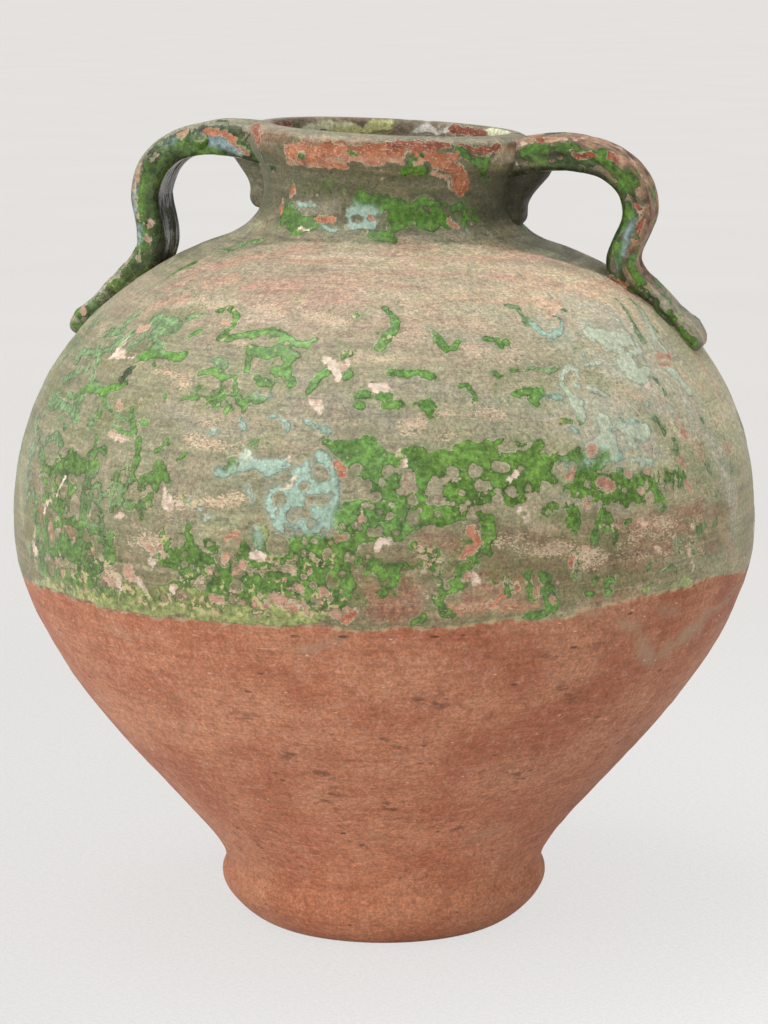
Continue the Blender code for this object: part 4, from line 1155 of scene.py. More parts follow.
def soft_lip(skin):
    """The lip's outer skin with its lower edge drawn down onto the neck as one smooth slope."""
    start = START["lip"]
    share = np.clip((skin.along - start) / SOFT_RUN, 0, 1)
    join = section.at(np.array([start + SOFT_RUN]))[0]
    slope = curve(
        (NECK_TOP - 0.0008, LIP_BOTTOM - SOFT_FALL), (NECK_TOP + 0.0010, LIP_BOTTOM - SOFT_FALL / 2),
        (join[0], join[1] - 0.0040), join, 100,
    )
    pairs = read_pair(share, np.linspace(0, 1, len(slope)), slope)
    way = unit(np.gradient(pairs, axis=0))
    low = share < 1
    places, outward = skin.places.copy(), skin.outward.copy()
    places[low] = spun(pairs[low], skin.turn)
    outward[low] = spun(np.stack([way[:, 1], -way[:, 0]], 1)[low], skin.turn)
    along = np.where(low, start - SOFT_FALL + share * (SOFT_RUN + SOFT_FALL), skin.along)
    return Skin(places, outward, along, skin.girth, skin.turn)


START = {name: start for name, (start, _) in section.span.items()}
rows_of = {
    "foot_base": (section.spaced("foot", 0.0011), section.spaced("foot_in", 0.0060), 384),
    "lower_wall": (
        section.fine_at_end("lower", 0.00125, 0.00205, 0.0560),
        section.spaced("lower_in", 0.0180), WALL_COLUMNS,
    ),
    "upper_wall": (section.spaced("upper", 0.00157), section.spaced("upper_in", 0.0200), WALL_COLUMNS),
    "neck_collar": (section.spaced("neck", 0.00085), section.spaced("neck_in", 0.0016), NECK_COLUMNS),
    "rim_lip": (section.spaced("lip", 0.00055), section.spaced("lip_in", 0.0010), NECK_COLUMNS),
}
skins = {
    node: [jar_skin(outer_rows, columns), jar_skin(inner_rows, columns)]
    for node, (outer_rows, inner_rows, columns) in rows_of.items()
}
skins["rim_lip"][0] = soft_lip(skins["rim_lip"][0])
outer_skins = [outer for outer, _ in skins.values()]


# Ground colours, before any patch

def grain_of(skin):
    """Coordinates in which grain that runs round the jar is long in x and y and short in z."""
    return spun(np.stack([np.full(len(skin.along), GRAIN_RADIUS), skin.along], 1), skin.turn)


def edge_marks(pixels, rise, waves):
    """(turn, along) points of an edge round the jar: read from the photograph in front, wavy behind."""
    marks = np.array([found_at([pixel], outer_skins)[0] for pixel in pixels])
    turns = (marks[:, 0] - marks[0, 0] + 0.5) % math.tau + marks[0, 0] - 0.5
    order = np.argsort(turns)
    turns, alongs = turns[order], marks[order, 1]
    back = np.linspace(turns[-1] + 0.2, turns[0] + math.tau - 0.2, 16)
    share = np.linspace(0, 1, len(back))
    wavy = blended(alongs[-1], alongs[0], share) + rise * np.sin(share * math.pi)
    wavy += waves * (np.sin(back * 3 + 1) + 0.6 * np.sin(back * 11))
    return np.concatenate([turns, back]), np.concatenate([alongs, wavy])


GLAZE_MARKS = edge_marks(GLAZE_EDGE, 0.004, 0.0030)
NECK_MARKS = edge_marks(NECK_EDGE, 0.030, 0.0015)


def glaze_edge_at(turn):
    """Where the glaze ends, as a distance along the section, at angles round the jar."""
    return np.interp(turn, *GLAZE_MARKS, period=math.tau)


def ground_of(skin):
    """The worn glaze's colour at each point of an outer skin, with painted light and shade by angle round it.
    """
    height = skin.places[..., 2]
    patch = noise(skin.places, 0.055, 21, 3)[..., None]
    streak = noise(grain_of(skin), (0.09, 0.09, 0.006), 22, 3)[..., None]
    colour = np.zeros(skin.places.shape) + PALETTE["khaki"]
    colour = blended(colour, "mauve", 0.8 * np.clip(patch, 0, 1))
    colour = blended(colour, "haze", 0.7 * np.clip(-patch, 0, 1))
    colour = blended(colour, "cream", 0.6 * np.clip(streak - 0.2, 0, 1))
    top = ease(*PALE_TOP, height)[..., None]
    colour = blended(colour, "cream", 0.60 * top)
    colour = blended(colour, "pink", 0.65 * top * np.clip(0.35 + 1.4 * streak + 0.8 * patch, 0, 1))
    colour = blended(colour, "earth", 1 - ease(*EARTH_TOP, height)[..., None])
    low = 1 - ease(*OLIVE_TOP, height)[..., None]
    colour = blended(colour, "olive", 0.45 * low * np.clip(0.5 + 1.5 * patch, 0, 1))
    # Lighter or darker by angle: partly the glaze's wear, partly painted light, lighter on the right where
    # the lamp falls less and darker on the lit left.
    angle = np.degrees(from_front(skin.turn))
    worn = np.interp(angle, WEAR_AND_LIGHT_ANGLES, WEAR_AND_PAINTED_LIGHT)[:, None]
    colour = colour * (1 + (worn - 1) * (0.35 + 0.65 * ease(*WORN_RISE, height)[..., None]))
    edge = np.interp(skin.turn, *NECK_MARKS, period=math.tau)
    past = skin.along[:, None] - edge + 0.0022 * noise(skin.places, 0.012, 23, 3)
    stone = np.array(PALETTE["stone"]) * (1 + 0.5 * streak)
    colour = blended(colour, stone, ease(-0.0016, 0.0012, past)[..., None])
    neck = ease(*NECK_RISE, height + 0.003 * noise(skin.places, 0.02, 24, 2))[..., None]
    # The neck's dark glaze with painted shade by angle: darkest on its right, away from the lamp, and a
    # little lighter at the front.
    dusk = np.array(PALETTE["dusk"]) * np.interp(angle, NECK_SHADE_ANGLES, NECK_PAINTED_SHADE)[:, None]
    return blended(colour, dusk, neck)


for skin in outer_skins:
    past = skin.along[:, None] - glaze_edge_at(skin.turn)
    skin.ground = ground_of(skin)
    skin.glaze = past / MM + 0.9 * skin.rough + 0.5 * noise(skin.places, 0.011, 31, 2)

# Patches that the photograph shows
for colour, soft, strength, text in TONES:
    work(Skin.tone, text, outer_skins, colour, pixel_size(soft), strength)
for channel, amount, soft, text in ((0, 1.0, 8, SPECKS), (0, 0.9, 8, SOOT), (2, 0.9, 16, STAINS)):
    work(Skin.sprinkle, text, outer_skins, channel, pixel_size(soft), amount)
for colour, text in FLAKES:
    work(Skin.draw, text, outer_skins, "flake", colour)
work(Skin.bite, BITES, outer_skins)
for colour, amount, soft, text in COVERS:
    work(Skin.spread, text, outer_skins, colour, pixel_size(soft), amount)
for colour, text in CHIPS:
    work(Skin.draw, text, outer_skins, "chip", colour)
work(Skin.keep, KEPT, outer_skins)

# The side that the photograph doesn't show, with patches of the same kinds
rng = np.random.default_rng(7)


def wander(turn, along, legs, step, drift):
    """A wandering stroke of (turn, along) points."""
    points = [(turn, along)]
    heading = rng.uniform(0, math.tau)
    for _ in range(legs):
        heading += rng.normal(0, drift)
        girth = float(section.at(np.array([along]))[0, 0])
        turn += math.cos(heading) * step / girth
        along += math.sin(heading) * step * 0.7
        points.append((turn, along))
    return points


def hidden_turn():
    """A random angle on the side that the photograph doesn't show."""
    while True:
        turn = rng.uniform(0, math.tau)
        if abs(from_front(turn)) > HIDDEN_ANGLE:
            return turn


def hidden_strokes(count, start, reach, legs=None, step=0, drift=0):
    """Random strokes on the hidden side, a reach past the start of a stretch or past the glaze's edge."""
    for _ in range(count):
        turn = hidden_turn()
        along = (START[start] if start else glaze_edge_at(turn)) + rng.uniform(*reach)
        if legs is None:
            yield [(turn, along)]
        else:
            yield wander(turn, along, rng.integers(*legs) if isinstance(legs, tuple) else legs, step, drift)


def scattered(layer, colours, radii, strokes, candidates=outer_skins):
    """Draw each stroke with another radius and colour on each skin."""
    for stroke in strokes:
        for skin in candidates:
            skin.draw(stroke, rng.uniform(*radii), layer, rng.choice(colours))


for where, amounts, colours, radii, soft in (
    ((60, "", (0.008, 0.062), 2, 0.016, 0.5), (0.5, 0.85), ["leaf", "deep", "deep"], (0.005, 0.010), 0.004),
    ((50, "upper", (0.050, 0.150), 2, 0.014, 0.5), (0.25, 0.55),
     ["leaf", "matt", "mint", "sky", "matt"], (0.004, 0.009), 0.005),
):
    for stroke in hidden_strokes(*where):
        amount = rng.uniform(*amounts)
        colour = rng.choice(colours)
        for skin in outer_skins:
            skin.spread(stroke, rng.uniform(*radii), colour, soft, amount)
for stroke in hidden_strokes(26, "", (0.002, 0.005), 3, 0.009, 0.12):
    for skin in outer_skins:
        skin.spread(stroke, 0.0030, "lime", 0.0025, 0.9)
for where, colours, radii in (
    ((150, "", (0.006, 0.062), (1, 5), 0.0060, 0.9),
     ["leaf", "deep", "deep", "deep", "moss"], (0.0018, 0.0046)),
    ((75, "upper", (0.045, 0.150), (1, 4), 0.0055, 0.8),
     ["leaf", "matt", "matt", "sky", "mint", "deep"], (0.0012, 0.0034)),
):
    for stroke in hidden_strokes(*where):
        colour = rng.choice(colours)
        radius = rng.uniform(*radii)
        for skin in outer_skins:
            skin.draw(stroke, radius, "flake", colour)
lime_strokes = hidden_strokes(44, "", (0.002, 0.007), 3, 0.006, 0.25)
scattered("flake", ["lime", "lime", "deep"], (0.0015, 0.0034), lime_strokes)
for stroke in hidden_strokes(150, "", (0.002, 0.10)):
    for skin in outer_skins:
        skin.bite(stroke, rng.uniform(0.0012, 0.0036))
wall_chips = hidden_strokes(70, "", (0.001, 0.16), (0, 3), 0.0024, 1.2)
scattered("chip", ["slip", "flesh", "salmon", "brick"], (0.0007, 0.0021), wall_chips)
neck_reach = (0.006, START["lip"] + 0.012 - START["neck"])
neck_strokes = hidden_strokes(26, "neck", neck_reach, (1, 4), 0.006, 0.6)
scattered("flake", ["deep", "deep", "moss", "sky"], (0.0018, 0.0046), neck_strokes)
lip_chips = hidden_strokes(16, "lip", (0.000, 0.015), (1, 4), 0.007, 0.9)
scattered("chip", ["salmon", "brick"], (0.0018, 0.0042), lip_chips)

# Small round bites that follow the glaze's edge, and the lip's crest in grey: partly grey glaze, partly a
# painted highlight along its top edge
for skin in outer_skins:
    past = skin.along[:, None] - glaze_edge_at(skin.turn)
    skin.extra[..., 0] -= 1.2 * ease(*SPECK_END, skin.places[..., 2])
    skin.extra[..., 1] = ease(0.085, 0.055, past) * ease(0.0, 0.010, past)
# Painted highlight, partly grey glaze: the lip's crest turns ash grey.
lip_skin = skins["rim_lip"][0]
crest = ease(START["lip"] + 0.0125, START["lip"] + 0.0150, lip_skin.along)[:, None, None]
lip_skin.ground = blended(lip_skin.ground, "ash", 0.65 * crest)


# Inside: a thin yellow-green glaze at the mouth and raw clay further down

for _, inner in skins.values():
    height = inner.places[..., 2]
    patch = noise(inner.places, 0.03, 41, 3)
    clay = np.array(PALETTE["rust"]) * (0.8 + 0.25 * patch[..., None])
    wash = np.array(PALETTE["wash"]) * (1 + 0.3 * patch[..., None])
    inner.ground = blended(clay, wash, ease(*WASH_RISE, height + 0.012 * patch)[..., None])
    inner.glaze = (height - INNER_GLAZE_HEIGHT) / MM * 0.3 + 2 * inner.rough
mouth = [skins["rim_lip"][1], skins["neck_collar"][1]]
for layer, colour, text in MOUTH:
    work(Skin.draw, text, mouth, layer, colour)


def mouth_strokes():
    """Random strokes inside the mouth, on the near side."""
    for _ in range(40):
        turn = rng.uniform(0, math.tau)
        if abs(from_front(turn)) < NEAR_ANGLE:
            yield wander(turn, START["lip_in"] + rng.uniform(0.003, 0.045), 2, 0.006, 0.5)


scattered("flake", ["lime", "mint", "leaf"], (0.002, 0.004), mouth_strokes(), mouth)


def build_turned(node):
    """One turned piece of the jar, closed, with its throwing marks and paint relief."""
    outer, inner = skins[node]
    outer_grain, inner_grain = grain_of(outer), grain_of(inner)
    height = outer.places[..., 2]
    uneven = (
        0.17 * noise(outer_grain, (0.30, 0.30, 0.0085), 51, 2)
        + 0.22 * noise(outer_grain, (0.40, 0.40, 0.028), 52, 1)
        + 0.55 * noise(outer.places, 0.12, 53, 2)
        + 0.14 * noise(outer.places, 0.022, 54, 2)
    )
    calm = ease(0.0, 0.012, height) * (1 - 0.6 * ease(LIP_BOTTOM - 0.004, LIP_BOTTOM + 0.004, height))
    shown = outer.places + outer.outward * (MM * uneven * calm + relief(outer))[..., None]
    height = inner.places[..., 2]
    calm = ease(FLOOR_TOP + 0.002, FLOOR_TOP + 0.02, height) * ease(JAR_HEIGHT, JAR_HEIGHT - 0.01, height)
    rings = 0.4 * noise(inner_grain, (0.60, 0.60, 0.012), 55, 2)
    within = inner.places + inner.outward * (MM * rings * calm)[..., None]
    item = grid_mesh(node + "_clay", lean(np.vstack([shown, within])), loop=node != "foot_base")
    dress(item, [outer, inner], np.vstack([outer_grain, inner_grain]))
    return item


turned = {node: build_turned(node) for node in rows_of}


# Handles

def tail_point(radius):
    """A point of a tail's middle line, over the shoulder at a radius, and the way it runs there."""
    step = 0.0005
    fall = shoulder_height(radius - step) - shoulder_height(radius + step)
    along = unit(np.array([2 * step, -fall]))
    outward = np.array([-along[1], along[0]])
    return np.array([radius, shoulder_height(radius)]) + outward * TAIL_LIFT, along


def strap_path(strap):
    """A strap's middle line on +X as points a step apart, and their distances along it."""
    root = np.array([NECK_RADIUS - STRAP_ROOT_INSET, JAR_HEIGHT - STRAP_ROOT_DROP])
    side = np.array([strap.reach, JAR_HEIGHT - strap.drop])
    landing, landing_along = tail_point(TAIL_START)
    fall = side[1] - landing[1]
    arch = curve(
        root, root + np.array([(strap.reach - root[0]) * ARCH_REACH_SHARE, strap.arch_rise]),
        side + np.array([0, (root[1] - side[1]) * ARCH_DROP_SHARE]), side, 200,
    )
    leg = curve(
        side, side - np.array([strap.back_in, fall * LEG_DROP_SHARE]),
        landing - landing_along * fall * LEG_LANDING_SHARE, landing, 120,
    )
    tail = np.array([tail_point(radius)[0] for radius in np.linspace(TAIL_START, TAIL_END, 60)])
    path = np.vstack([arch, leg[1:], tail[1:]])
    distance = travelled_along(path)
    wanted = np.linspace(0, distance[-1], int(distance[-1] / STRAP_STEP) + 1)
    return read_pair(wanted, distance, path), wanted


def strap_width(strap, way):
    """A strap's width at a distance from its root, before the tail."""
    return blended(STRAP_WIDTHS[0], STRAP_WIDTHS[1], ease(0, strap.reach - NECK_RADIUS, way))


def strap_section(width, thickness, rib_depth, bead):
    """Section of a strap as (across, outward): ribbed outside, with a channel along one edge."""
    flat = 0.8
    face = np.linspace(-flat, flat, 45)
    rib = rib_depth * (np.cos(math.tau * face / flat) - 1) / 2
    groove = STRAP_GROOVE * (1 + np.cos(math.pi * face / flat)) / 2
    outer = np.stack([face * width / 2, thickness / 2 + rib], 1)
    turn = np.radians(np.linspace(90, -90, 22))[1:-1]
    channel = bead * np.exp(-(((np.sin(turn) + 0.25) / 0.28) ** 2))
    across = (flat + (1 - flat) * np.cos(turn)) * width / 2 - channel
    edge = np.stack([across, thickness / 2 * np.sin(turn)], 1)
    inner = np.stack([face[::-1] * width / 2, groove - thickness / 2], 1)
    return np.vstack([outer, edge, inner, edge[::-1] * np.array([-1, 1])])


def strap_skin(side, strap):
    """The skin of a strap handle."""
    path, distance = strap_path(strap)
    rings = []
    girths = []
    for point, way, heading in zip(path, distance, unit(np.gradient(path, axis=0))):
        left = distance[-1] - way
        fade = min(left / TAIL_RUN, 1)
        width = blended(STRAP_WIDTHS[2], strap_width(strap, way), ease(0, 2 * TAIL_RUN, left))
        thick = blended(STRAP_THICKNESSES[0], STRAP_THICKNESSES[1], ease(0, strap.reach - NECK_RADIUS, way))
        thick = blended(STRAP_THICKNESSES[2], thick, ease(TAIL_RUN / 2, 2 * TAIL_RUN, left))
        thick += TAIL_KNOB * max(1 - abs(left / TAIL_KNOB_LENGTH - 1), 0)
        tip = min(left / TAIL_TIP_LENGTH, 1)
        shrink = blended(TAIL_TIP_SHARE, 1, math.sqrt(1 - (1 - tip) ** 2))
        bead = strap.bead * fade * min(way / 0.03, 1)
        ring = strap_section(width * shrink, thick * shrink, strap.rib_depth * fade, bead)
        middle = point + np.array([-heading[1], heading[0]]) * ring[:, 1:]
        rings.append(np.stack([middle[:, 0], ring[:, 0], middle[:, 1]], 1))
        girths.append(np.linalg.norm(ring - np.roll(ring, 1, axis=0), axis=1).sum() / math.tau)
    rings = np.array(rings)
    girths = np.array(girths)
    middles = np.stack([path[:, 0], np.zeros(len(path)), path[:, 1]], 1)[:, None, :]
    around = np.roll(rings, -1, axis=1) - np.roll(rings, 1, axis=1)
    outward = unit(np.cross(around, np.gradient(rings, axis=0)))
    outward *= np.copysign(1, ((rings - middles) * outward).sum())
    lengths = np.linalg.norm(rings[80] - np.roll(rings[80], 1, axis=0), axis=1)
    turn = (np.cumsum(lengths) - lengths[0]) / lengths.sum() * math.tau
    mirror = HALF_TURN if side == "left" else FRONT_TO_BACK
    return Skin(rings * mirror, outward * mirror, distance, girths, turn)


def build_handle(side, strap):
    """A strap handle under a dark glaze, which is worn off the outer side of the right one."""
    skin = strap_skin(side, strap)
    places, distance, turn = skin.places, skin.along, skin.turn
    patch = noise(places, 0.012, 61, 3)
    fine = noise(places, 0.004, 62, 2)[..., None]
    # Painted light: the ground is paler grey where the strap faces up, towards the light from above, and
    # darker where it faces down.
    upright = skin.outward[..., 2]
    ash = ease(-0.35, 0.5, upright + 0.5 * patch)[..., None]
    skin.ground = blended(np.array(PALETTE["dusk"]), "ash", ash) * (1 + 0.2 * fine)
    heading = unit(np.gradient(places.mean(axis=1), axis=0))
    away = np.stack([-heading[:, 2], 0 * heading[:, 0], heading[:, 0]], -1)
    away *= -1 if side == "left" else 1
    outer_side = (skin.outward * away[:, None, :]).sum(-1)
    tail = ease(0.045, 0.030, distance[-1] - distance)[:, None]
    kept = 0.9 - 2.0 * ease(0.30, 0.85, outer_side) + 2.4 * patch - 1.2 * tail
    if side == "right":
        worn = ease(-0.35, 0.35, outer_side + 0.5 * patch) * (1 - tail)
        clay = np.array(PALETTE["strap_clay"]) * (1 + 0.8 * fine)
        skin.ground = blended(skin.ground, clay, 0.85 * worn[..., None])
        kept = kept - 2.2 * ease(-0.40, 0.22, outer_side)
    skin.layers["flake"] = np.maximum(skin.layers["flake"], np.clip(kept * 1.3, -6, 6))
    # Painted shade: where the strap faces the jar, its ground and glaze turn near-black; partly the glaze's
    # own dark colour.
    under = ease(0.0, -0.5, outer_side)
    tint = np.array(PALETTE["strap_glaze"]) * (0.75 + 0.7 * patch[..., None])
    tint = blended(tint, "strap_olive", np.clip(1.6 * fine, 0, 0.7))
    tint = blended(tint, "ink", under[..., None])
    skin.ground = blended(skin.ground, "ink", 0.85 * under[..., None])
    skin.paint["flake"] += 0.3 * np.clip(tint, 0, 1)
    skin.weight["flake"] += 0.3
    for colour, text in HANDLE_FLAKES[side]:
        work(Skin.draw, text, [skin], "flake", colour)
    work(Skin.bite, HANDLE_BITES[side], [skin])
    for colour, text in HANDLE_CHIPS[side]:
        work(Skin.draw, text, [skin], "chip", colour)
    for layer, count, spin, slide, radii, colours in (
        ("flake", 46, 0.15, 0.008, (0.0015, 0.0045), ["deep", "moss", "deep", "leaf"]),
        ("chip", 16, 0.06, 0.005, (0.0008, 0.0022), ["flesh", "brick", "slip"]),
    ):
        for _ in range(count):
            row = rng.integers(20, len(distance) - 6)
            column = rng.integers(0, len(turn))
            if not skin.faces[row, column]:
                start = turn[column], distance[row]
                end = start[0] + rng.normal(0, spin), start[1] + rng.normal(0, slide)
                skin.draw([start, end], rng.uniform(*radii), layer, rng.choice(colours))
    around = skin.girth[:, None] * turn
    pulled = np.stack([distance[:, None] + 0 * around, 0 * around, around], -1)
    uneven = 0.45 * noise(places, 0.020, 63, 2) + 0.16 * noise(places, 0.006, 64, 2)
    uneven += (0.10 + 0.45 * under) * noise(pulled, (0.060, 1, 0.0030), 65, 2)
    rows = places + skin.outward * (MM * uneven + relief(skin))[..., None]
    item = grid_mesh(side + "_handle_strap", lean(rows))
    dress(item, [skin], pulled * np.array([1.1, 1, 1]))
    return item


handles = {side: build_handle(side, strap) for side, strap in STRAPS.items()}


# Luting wads under the handles' roots

def build_wad(side, height):
    """Clay pressed under a handle's root and smeared down the neck."""
    top = JAR_HEIGHT - STRAP_ROOT_DROP
    share = np.linspace(0, 1, 56)[:, None]
    turn = np.linspace(-math.pi / 2, math.pi / 2, 65)
    swell = np.sqrt(1 - (1 - np.minimum(share / 0.18, 1)) ** 2)
    front = NECK_RADIUS + blended(*WAD_DEPTHS, ease(0.3, 1, share)) * (0.25 + 0.75 * swell)
    back = NECK_RADIUS - WAD_BED
    out = back + (front - back) * np.sqrt(np.maximum(np.cos(turn), 0))
    across = WAD_HALF_WIDTH * (0.70 + 0.30 * share) * np.sin(turn)
    rise = top - height + height * share
    points = np.stack([out, across, rise + 0 * out], -1)
    direction = np.stack([np.cos(turn) + 0 * out, np.sin(turn) + 0 * out, 0 * out], -1)
    finger = 0.5 * noise(points, 0.011, 71, 2) + 0.22 * noise(points, 0.004, 72, 2)
    lump = MM * finger * np.sqrt(np.maximum(np.cos(turn), 0)) * ease(1.0, 0.85, share)
    points = points + direction * lump[..., None]
    if side == "left":
        points = points * HALF_TURN
        direction = direction * HALF_TURN
    girth = np.full(len(share), 0.012)
    skin = Skin(points, direction, rise[:, 0], girth, np.linspace(0, math.pi, len(turn)))
    patch = noise(points, 0.012, 73, 3)[..., None]
    # Each wad's colour; the right one's near-black is partly painted shade under its strap's root.
    skin.ground = np.array(PALETTE[side + "_wad"]) * (1 + 0.5 * patch)
    skin.extra[..., 0] = -1.0
    item = grid_mesh(side + "_wad", lean(points))
    dress(item, [skin], points * np.array([0.3, 0.3, 1.0]))
    return item


wads = {side: build_wad(side, height) for side, height in WAD_HEIGHTS.items()}


def build_boss():
    """The ringed boss on the left handle's front edge."""
    strap = STRAPS["left"]
    path, distance = strap_path(strap)
    row = int(np.argmin(abs(distance - BOSS_PLACE)))
    centre = np.array([path[row, 0], strap_width(strap, distance[row]) / 2 - BOSS_SINK, path[row, 1]])
    out = np.array([0, math.cos(BOSS_TILT), math.sin(BOSS_TILT)])
    profile = np.vstack([
        curve((0.0046, -0.0030), (0.0046, 0.0006), (0.0042, 0.0022), (0.0032, 0.0022), 12),
        curve((0.0032, 0.0022), (0.0024, 0.0022), (0.0020, 0.0013), (0.0014, 0.0012), 8)[1:],
        curve((0.0014, 0.0012), (0.0010, 0.0012), (0.0004, 0.0014), (0.0002, 0.0014), 5)[1:],
    ])
    turn = np.arange(40) * math.tau / 40
    side_way = np.array([1.0, 0, 0])
    ring = side_way * np.cos(turn)[:, None] + np.cross(out, side_way) * np.sin(turn)[:, None]
    points = centre + profile[:, :1, None] * ring + profile[:, 1:, None] * out
    uneven = 1 + 0.05 * noise(points, 0.004, 81, 2)
    points = (centre + (points - centre) * uneven[..., None]) * HALF_TURN
    direction = np.broadcast_to(out * HALF_TURN, points.shape)
    skin = Skin(points, direction, distance[: len(profile)], np.full(len(profile), 0.004), turn)
    skin.ground = np.zeros(points.shape) + PALETTE["deep"]
    skin.draw([(around, distance[5]) for around in (0.5, 3.0, 5.0)], 0.006, "flake", "deep")
    skin.draw([(2.0, distance[9])], 0.0012, "chip", "flesh")
    item = grid_mesh("left_handle_boss", lean(points))
    dress(item, [skin], points)
    return item


boss = build_boss()


# Materials

class Graph:
    """A short way to write the nodes of a material or of the world."""

    def __init__(self, owner):
        owner.use_nodes = True
        self.nodes = owner.node_tree.nodes
        self.links = owner.node_tree.links

    def feed(self, socket, value):
        """Link a node's input, or set it."""
        if isinstance(value, bpy.types.NodeSocket):
            self.links.new(value, socket)
        elif socket.type == "RGBA" and len(value) == 3:
            socket.default_value = (*value, 1)
        else:
            socket.default_value = value

    def node(self, kind, inputs=(), **settings):
        """A new node with its settings, and with its inputs by place or by name."""
        node = self.nodes.new("ShaderNode" + kind)
        for name, value in settings.items():
            setattr(node, name, value)
        for key, value in inputs.items() if isinstance(inputs, dict) else enumerate(inputs):
            self.feed(node.inputs[key], value)
        return node

    def math(self, operation, *values):
        return self.node("Math", values, operation=operation).outputs[0]

    def add(self, *values):
        return reduce(lambda total, value: self.math("ADD", total, value), values)

    def times(self, *values):
        return reduce(lambda total, value: self.math("MULTIPLY", total, value), values)

    def less(self, value, other):
        return self.math("SUBTRACT", value, other)

    def sway(self, value, amount):
        """How far a noise is from its middle, times an amount."""
        return self.times(self.less(value, 0.5), amount)

    def step(self, value, low, high, start=0.0, end=1.0):
        """A value from start at low to end at high, eased at both ends."""
        inputs = (value, low, high, start, end)
        return self.node("MapRange", inputs, interpolation_type="SMOOTHSTEP").outputs["Result"]

    def mix(self, share, one, other, blend="MIX"):
        """A colour a share of the way from one to another. The node's colour sockets have these numbers."""
        inputs = {"Factor": share, 6: one, 7: other}
        return self.node("Mix", inputs, data_type="RGBA", blend_type=blend).outputs[2]

    def shade(self, colour, factor):
        """A colour times a grey factor."""
        return self.mix(1.0, colour, self.node("CombineColor", [factor] * 3).outputs[0], "MULTIPLY")

    def shaded(self, colour, rows):
        """A colour shaded along fields: (field, low, high, factor at low, factor at high) in each row."""
        for row in rows:
            colour = self.shade(colour, self.step(*row))
        return colour

    def marked(self, colour, rows):
        """A colour with marks: (field, low, high, amount, other, masks...) in each row.

        The mark shows where its field is past low and towards high. It turns the colour to the other
        one, or to a mix of (share, colour) with it, or shades it by a number.
        """
        for field, low, high, amount, other, *masks in rows:
            if isinstance(other, float):
                other = self.shade(colour, other)
            elif isinstance(other, tuple) and len(other) == 2:
                other = self.mix(other[0], colour, other[1])
            colour = self.mix(self.times(self.step(field, low, high), *masks, amount), colour, other)
        return colour

    def scaled(self, vector, scale):
        return self.node("VectorMath", (vector, scale), operation="MULTIPLY").outputs[0]

    def noise(self, vector, scale, detail=2.0, roughness=0.5, distortion=0.0):
        """Noise at a scale, which is a number or differs by direction."""
        if isinstance(scale, tuple):
            vector, scale = self.scaled(vector, scale), 1
        inputs = {"Vector": vector, "Scale": scale, "Detail": detail, "Roughness": roughness}
        return self.node("TexNoise", {**inputs, "Distortion": distortion}).outputs["Fac"]

    def cells(self, vector, scale):
        """The distance to the middle of a cell, and a random number for the cell."""
        node = self.node("TexVoronoi", {"Vector": vector, "Scale": scale})
        return node.outputs["Distance"], self.split(node.outputs["Color"])[0]

    def attribute(self, name, output):
        return self.node("Attribute", attribute_name=name).outputs[output]

    def split(self, vector):
        return self.node("SeparateXYZ", [vector]).outputs[:3]


# Noise that the materials share: scale, detail, roughness and distortion, by place and by grain
PLACE_NOISE = {
    "fine": (1100, 2.0),
    "small": (420, 2.0),
    "medium": (130, 3.0),
    "large": (26, 3.0),
    "net": (105, 3.0, 0.62, 0.4),
    "grit": (800, 3.0, 0.7),
    "mottle": (170, 4.0, 0.62),
}
GRAIN_NOISE = {
    "streak": ((16, 16, 330), 5.0, 0.62),
    "drag": ((70, 70, 1000), 4.0, 0.6),
    "dash": ((190, 190, 1500), 3.0, 0.6),
    "blotch": ((26, 26, 70), 4.0, 0.6),
    "clump": ((60, 60, 130), 2.0),
}


def fields_of(g):
    """What the materials read from a mesh, and the noise and fields that they share."""
    f = SimpleNamespace()
    f.place = g.node("TexCoord").outputs["Object"]
    f.grain = g.attribute("grain", "Vector")
    f.glaze, f.flake, f.chip = g.split(g.attribute("fields", "Vector"))
    f.specks, f.lace, f.stain = g.split(g.attribute("extra", "Vector"))
    f.cover = g.attribute("cover", "Fac")
    f.holes = g.attribute("holes", "Fac")
    for name, recipe in PLACE_NOISE.items():
        setattr(f, name, g.noise(f.place, *recipe))
    for name, recipe in GRAIN_NOISE.items():
        setattr(f, name, g.noise(f.grain, *recipe))
    f.ragged = g.add(g.sway(f.fine, 1.3), g.sway(f.small, 2.6))
    f.edge_field = g.add(f.glaze, f.ragged)
    f.flake_field = flake_field_of(g, f)
    f.chip_field = g.add(f.chip, g.times(f.ragged, 1.3), g.sway(f.net, 3.0))
    f.ground = g.attribute("ground", "Color")
    f.paint = g.attribute("flake", "Color")
    f.bare = g.attribute("chip", "Color")
    _, f.paint_green, _ = g.split(f.paint)
    _, ground_green, _ = g.split(f.ground)
    f.lit = g.step(ground_green, 0.09, 0.26, 0.12, 1.0)
    return f


def flake_field_of(g, f):
    """How far a point is inside the flakes of glaze, which have round bites out of them."""
    distance, chance = g.cells(g.scaled(f.place, (1, 1, 0.85)), 112)
    wide = g.less(distance, g.step(chance, 0.10, 1.0, 0.04, 0.42))
    distance, chance = g.cells(f.place, 240)
    narrow = g.less(distance, g.step(chance, 0.45, 1.0, 0.0, 0.40))
    bites = g.math("MINIMUM", g.times(wide, 8.9), g.times(narrow, 4.2))
    bites = g.add(bites, g.times(g.less(1.0, f.lace), 8.0))
    network = g.times(g.add(f.net, g.sway(f.mottle, 0.45), g.times(f.cover, 0.56), -0.80), 13.0)
    network = g.math("MINIMUM", network, g.times(g.less(f.cover, 0.05), 40.0))
    field = g.math("MAXIMUM", g.add(f.flake, g.sway(f.net, 4.0)), network)
    return g.add(g.math("MINIMUM", g.math("MINIMUM", field, f.holes), bites), f.ragged)


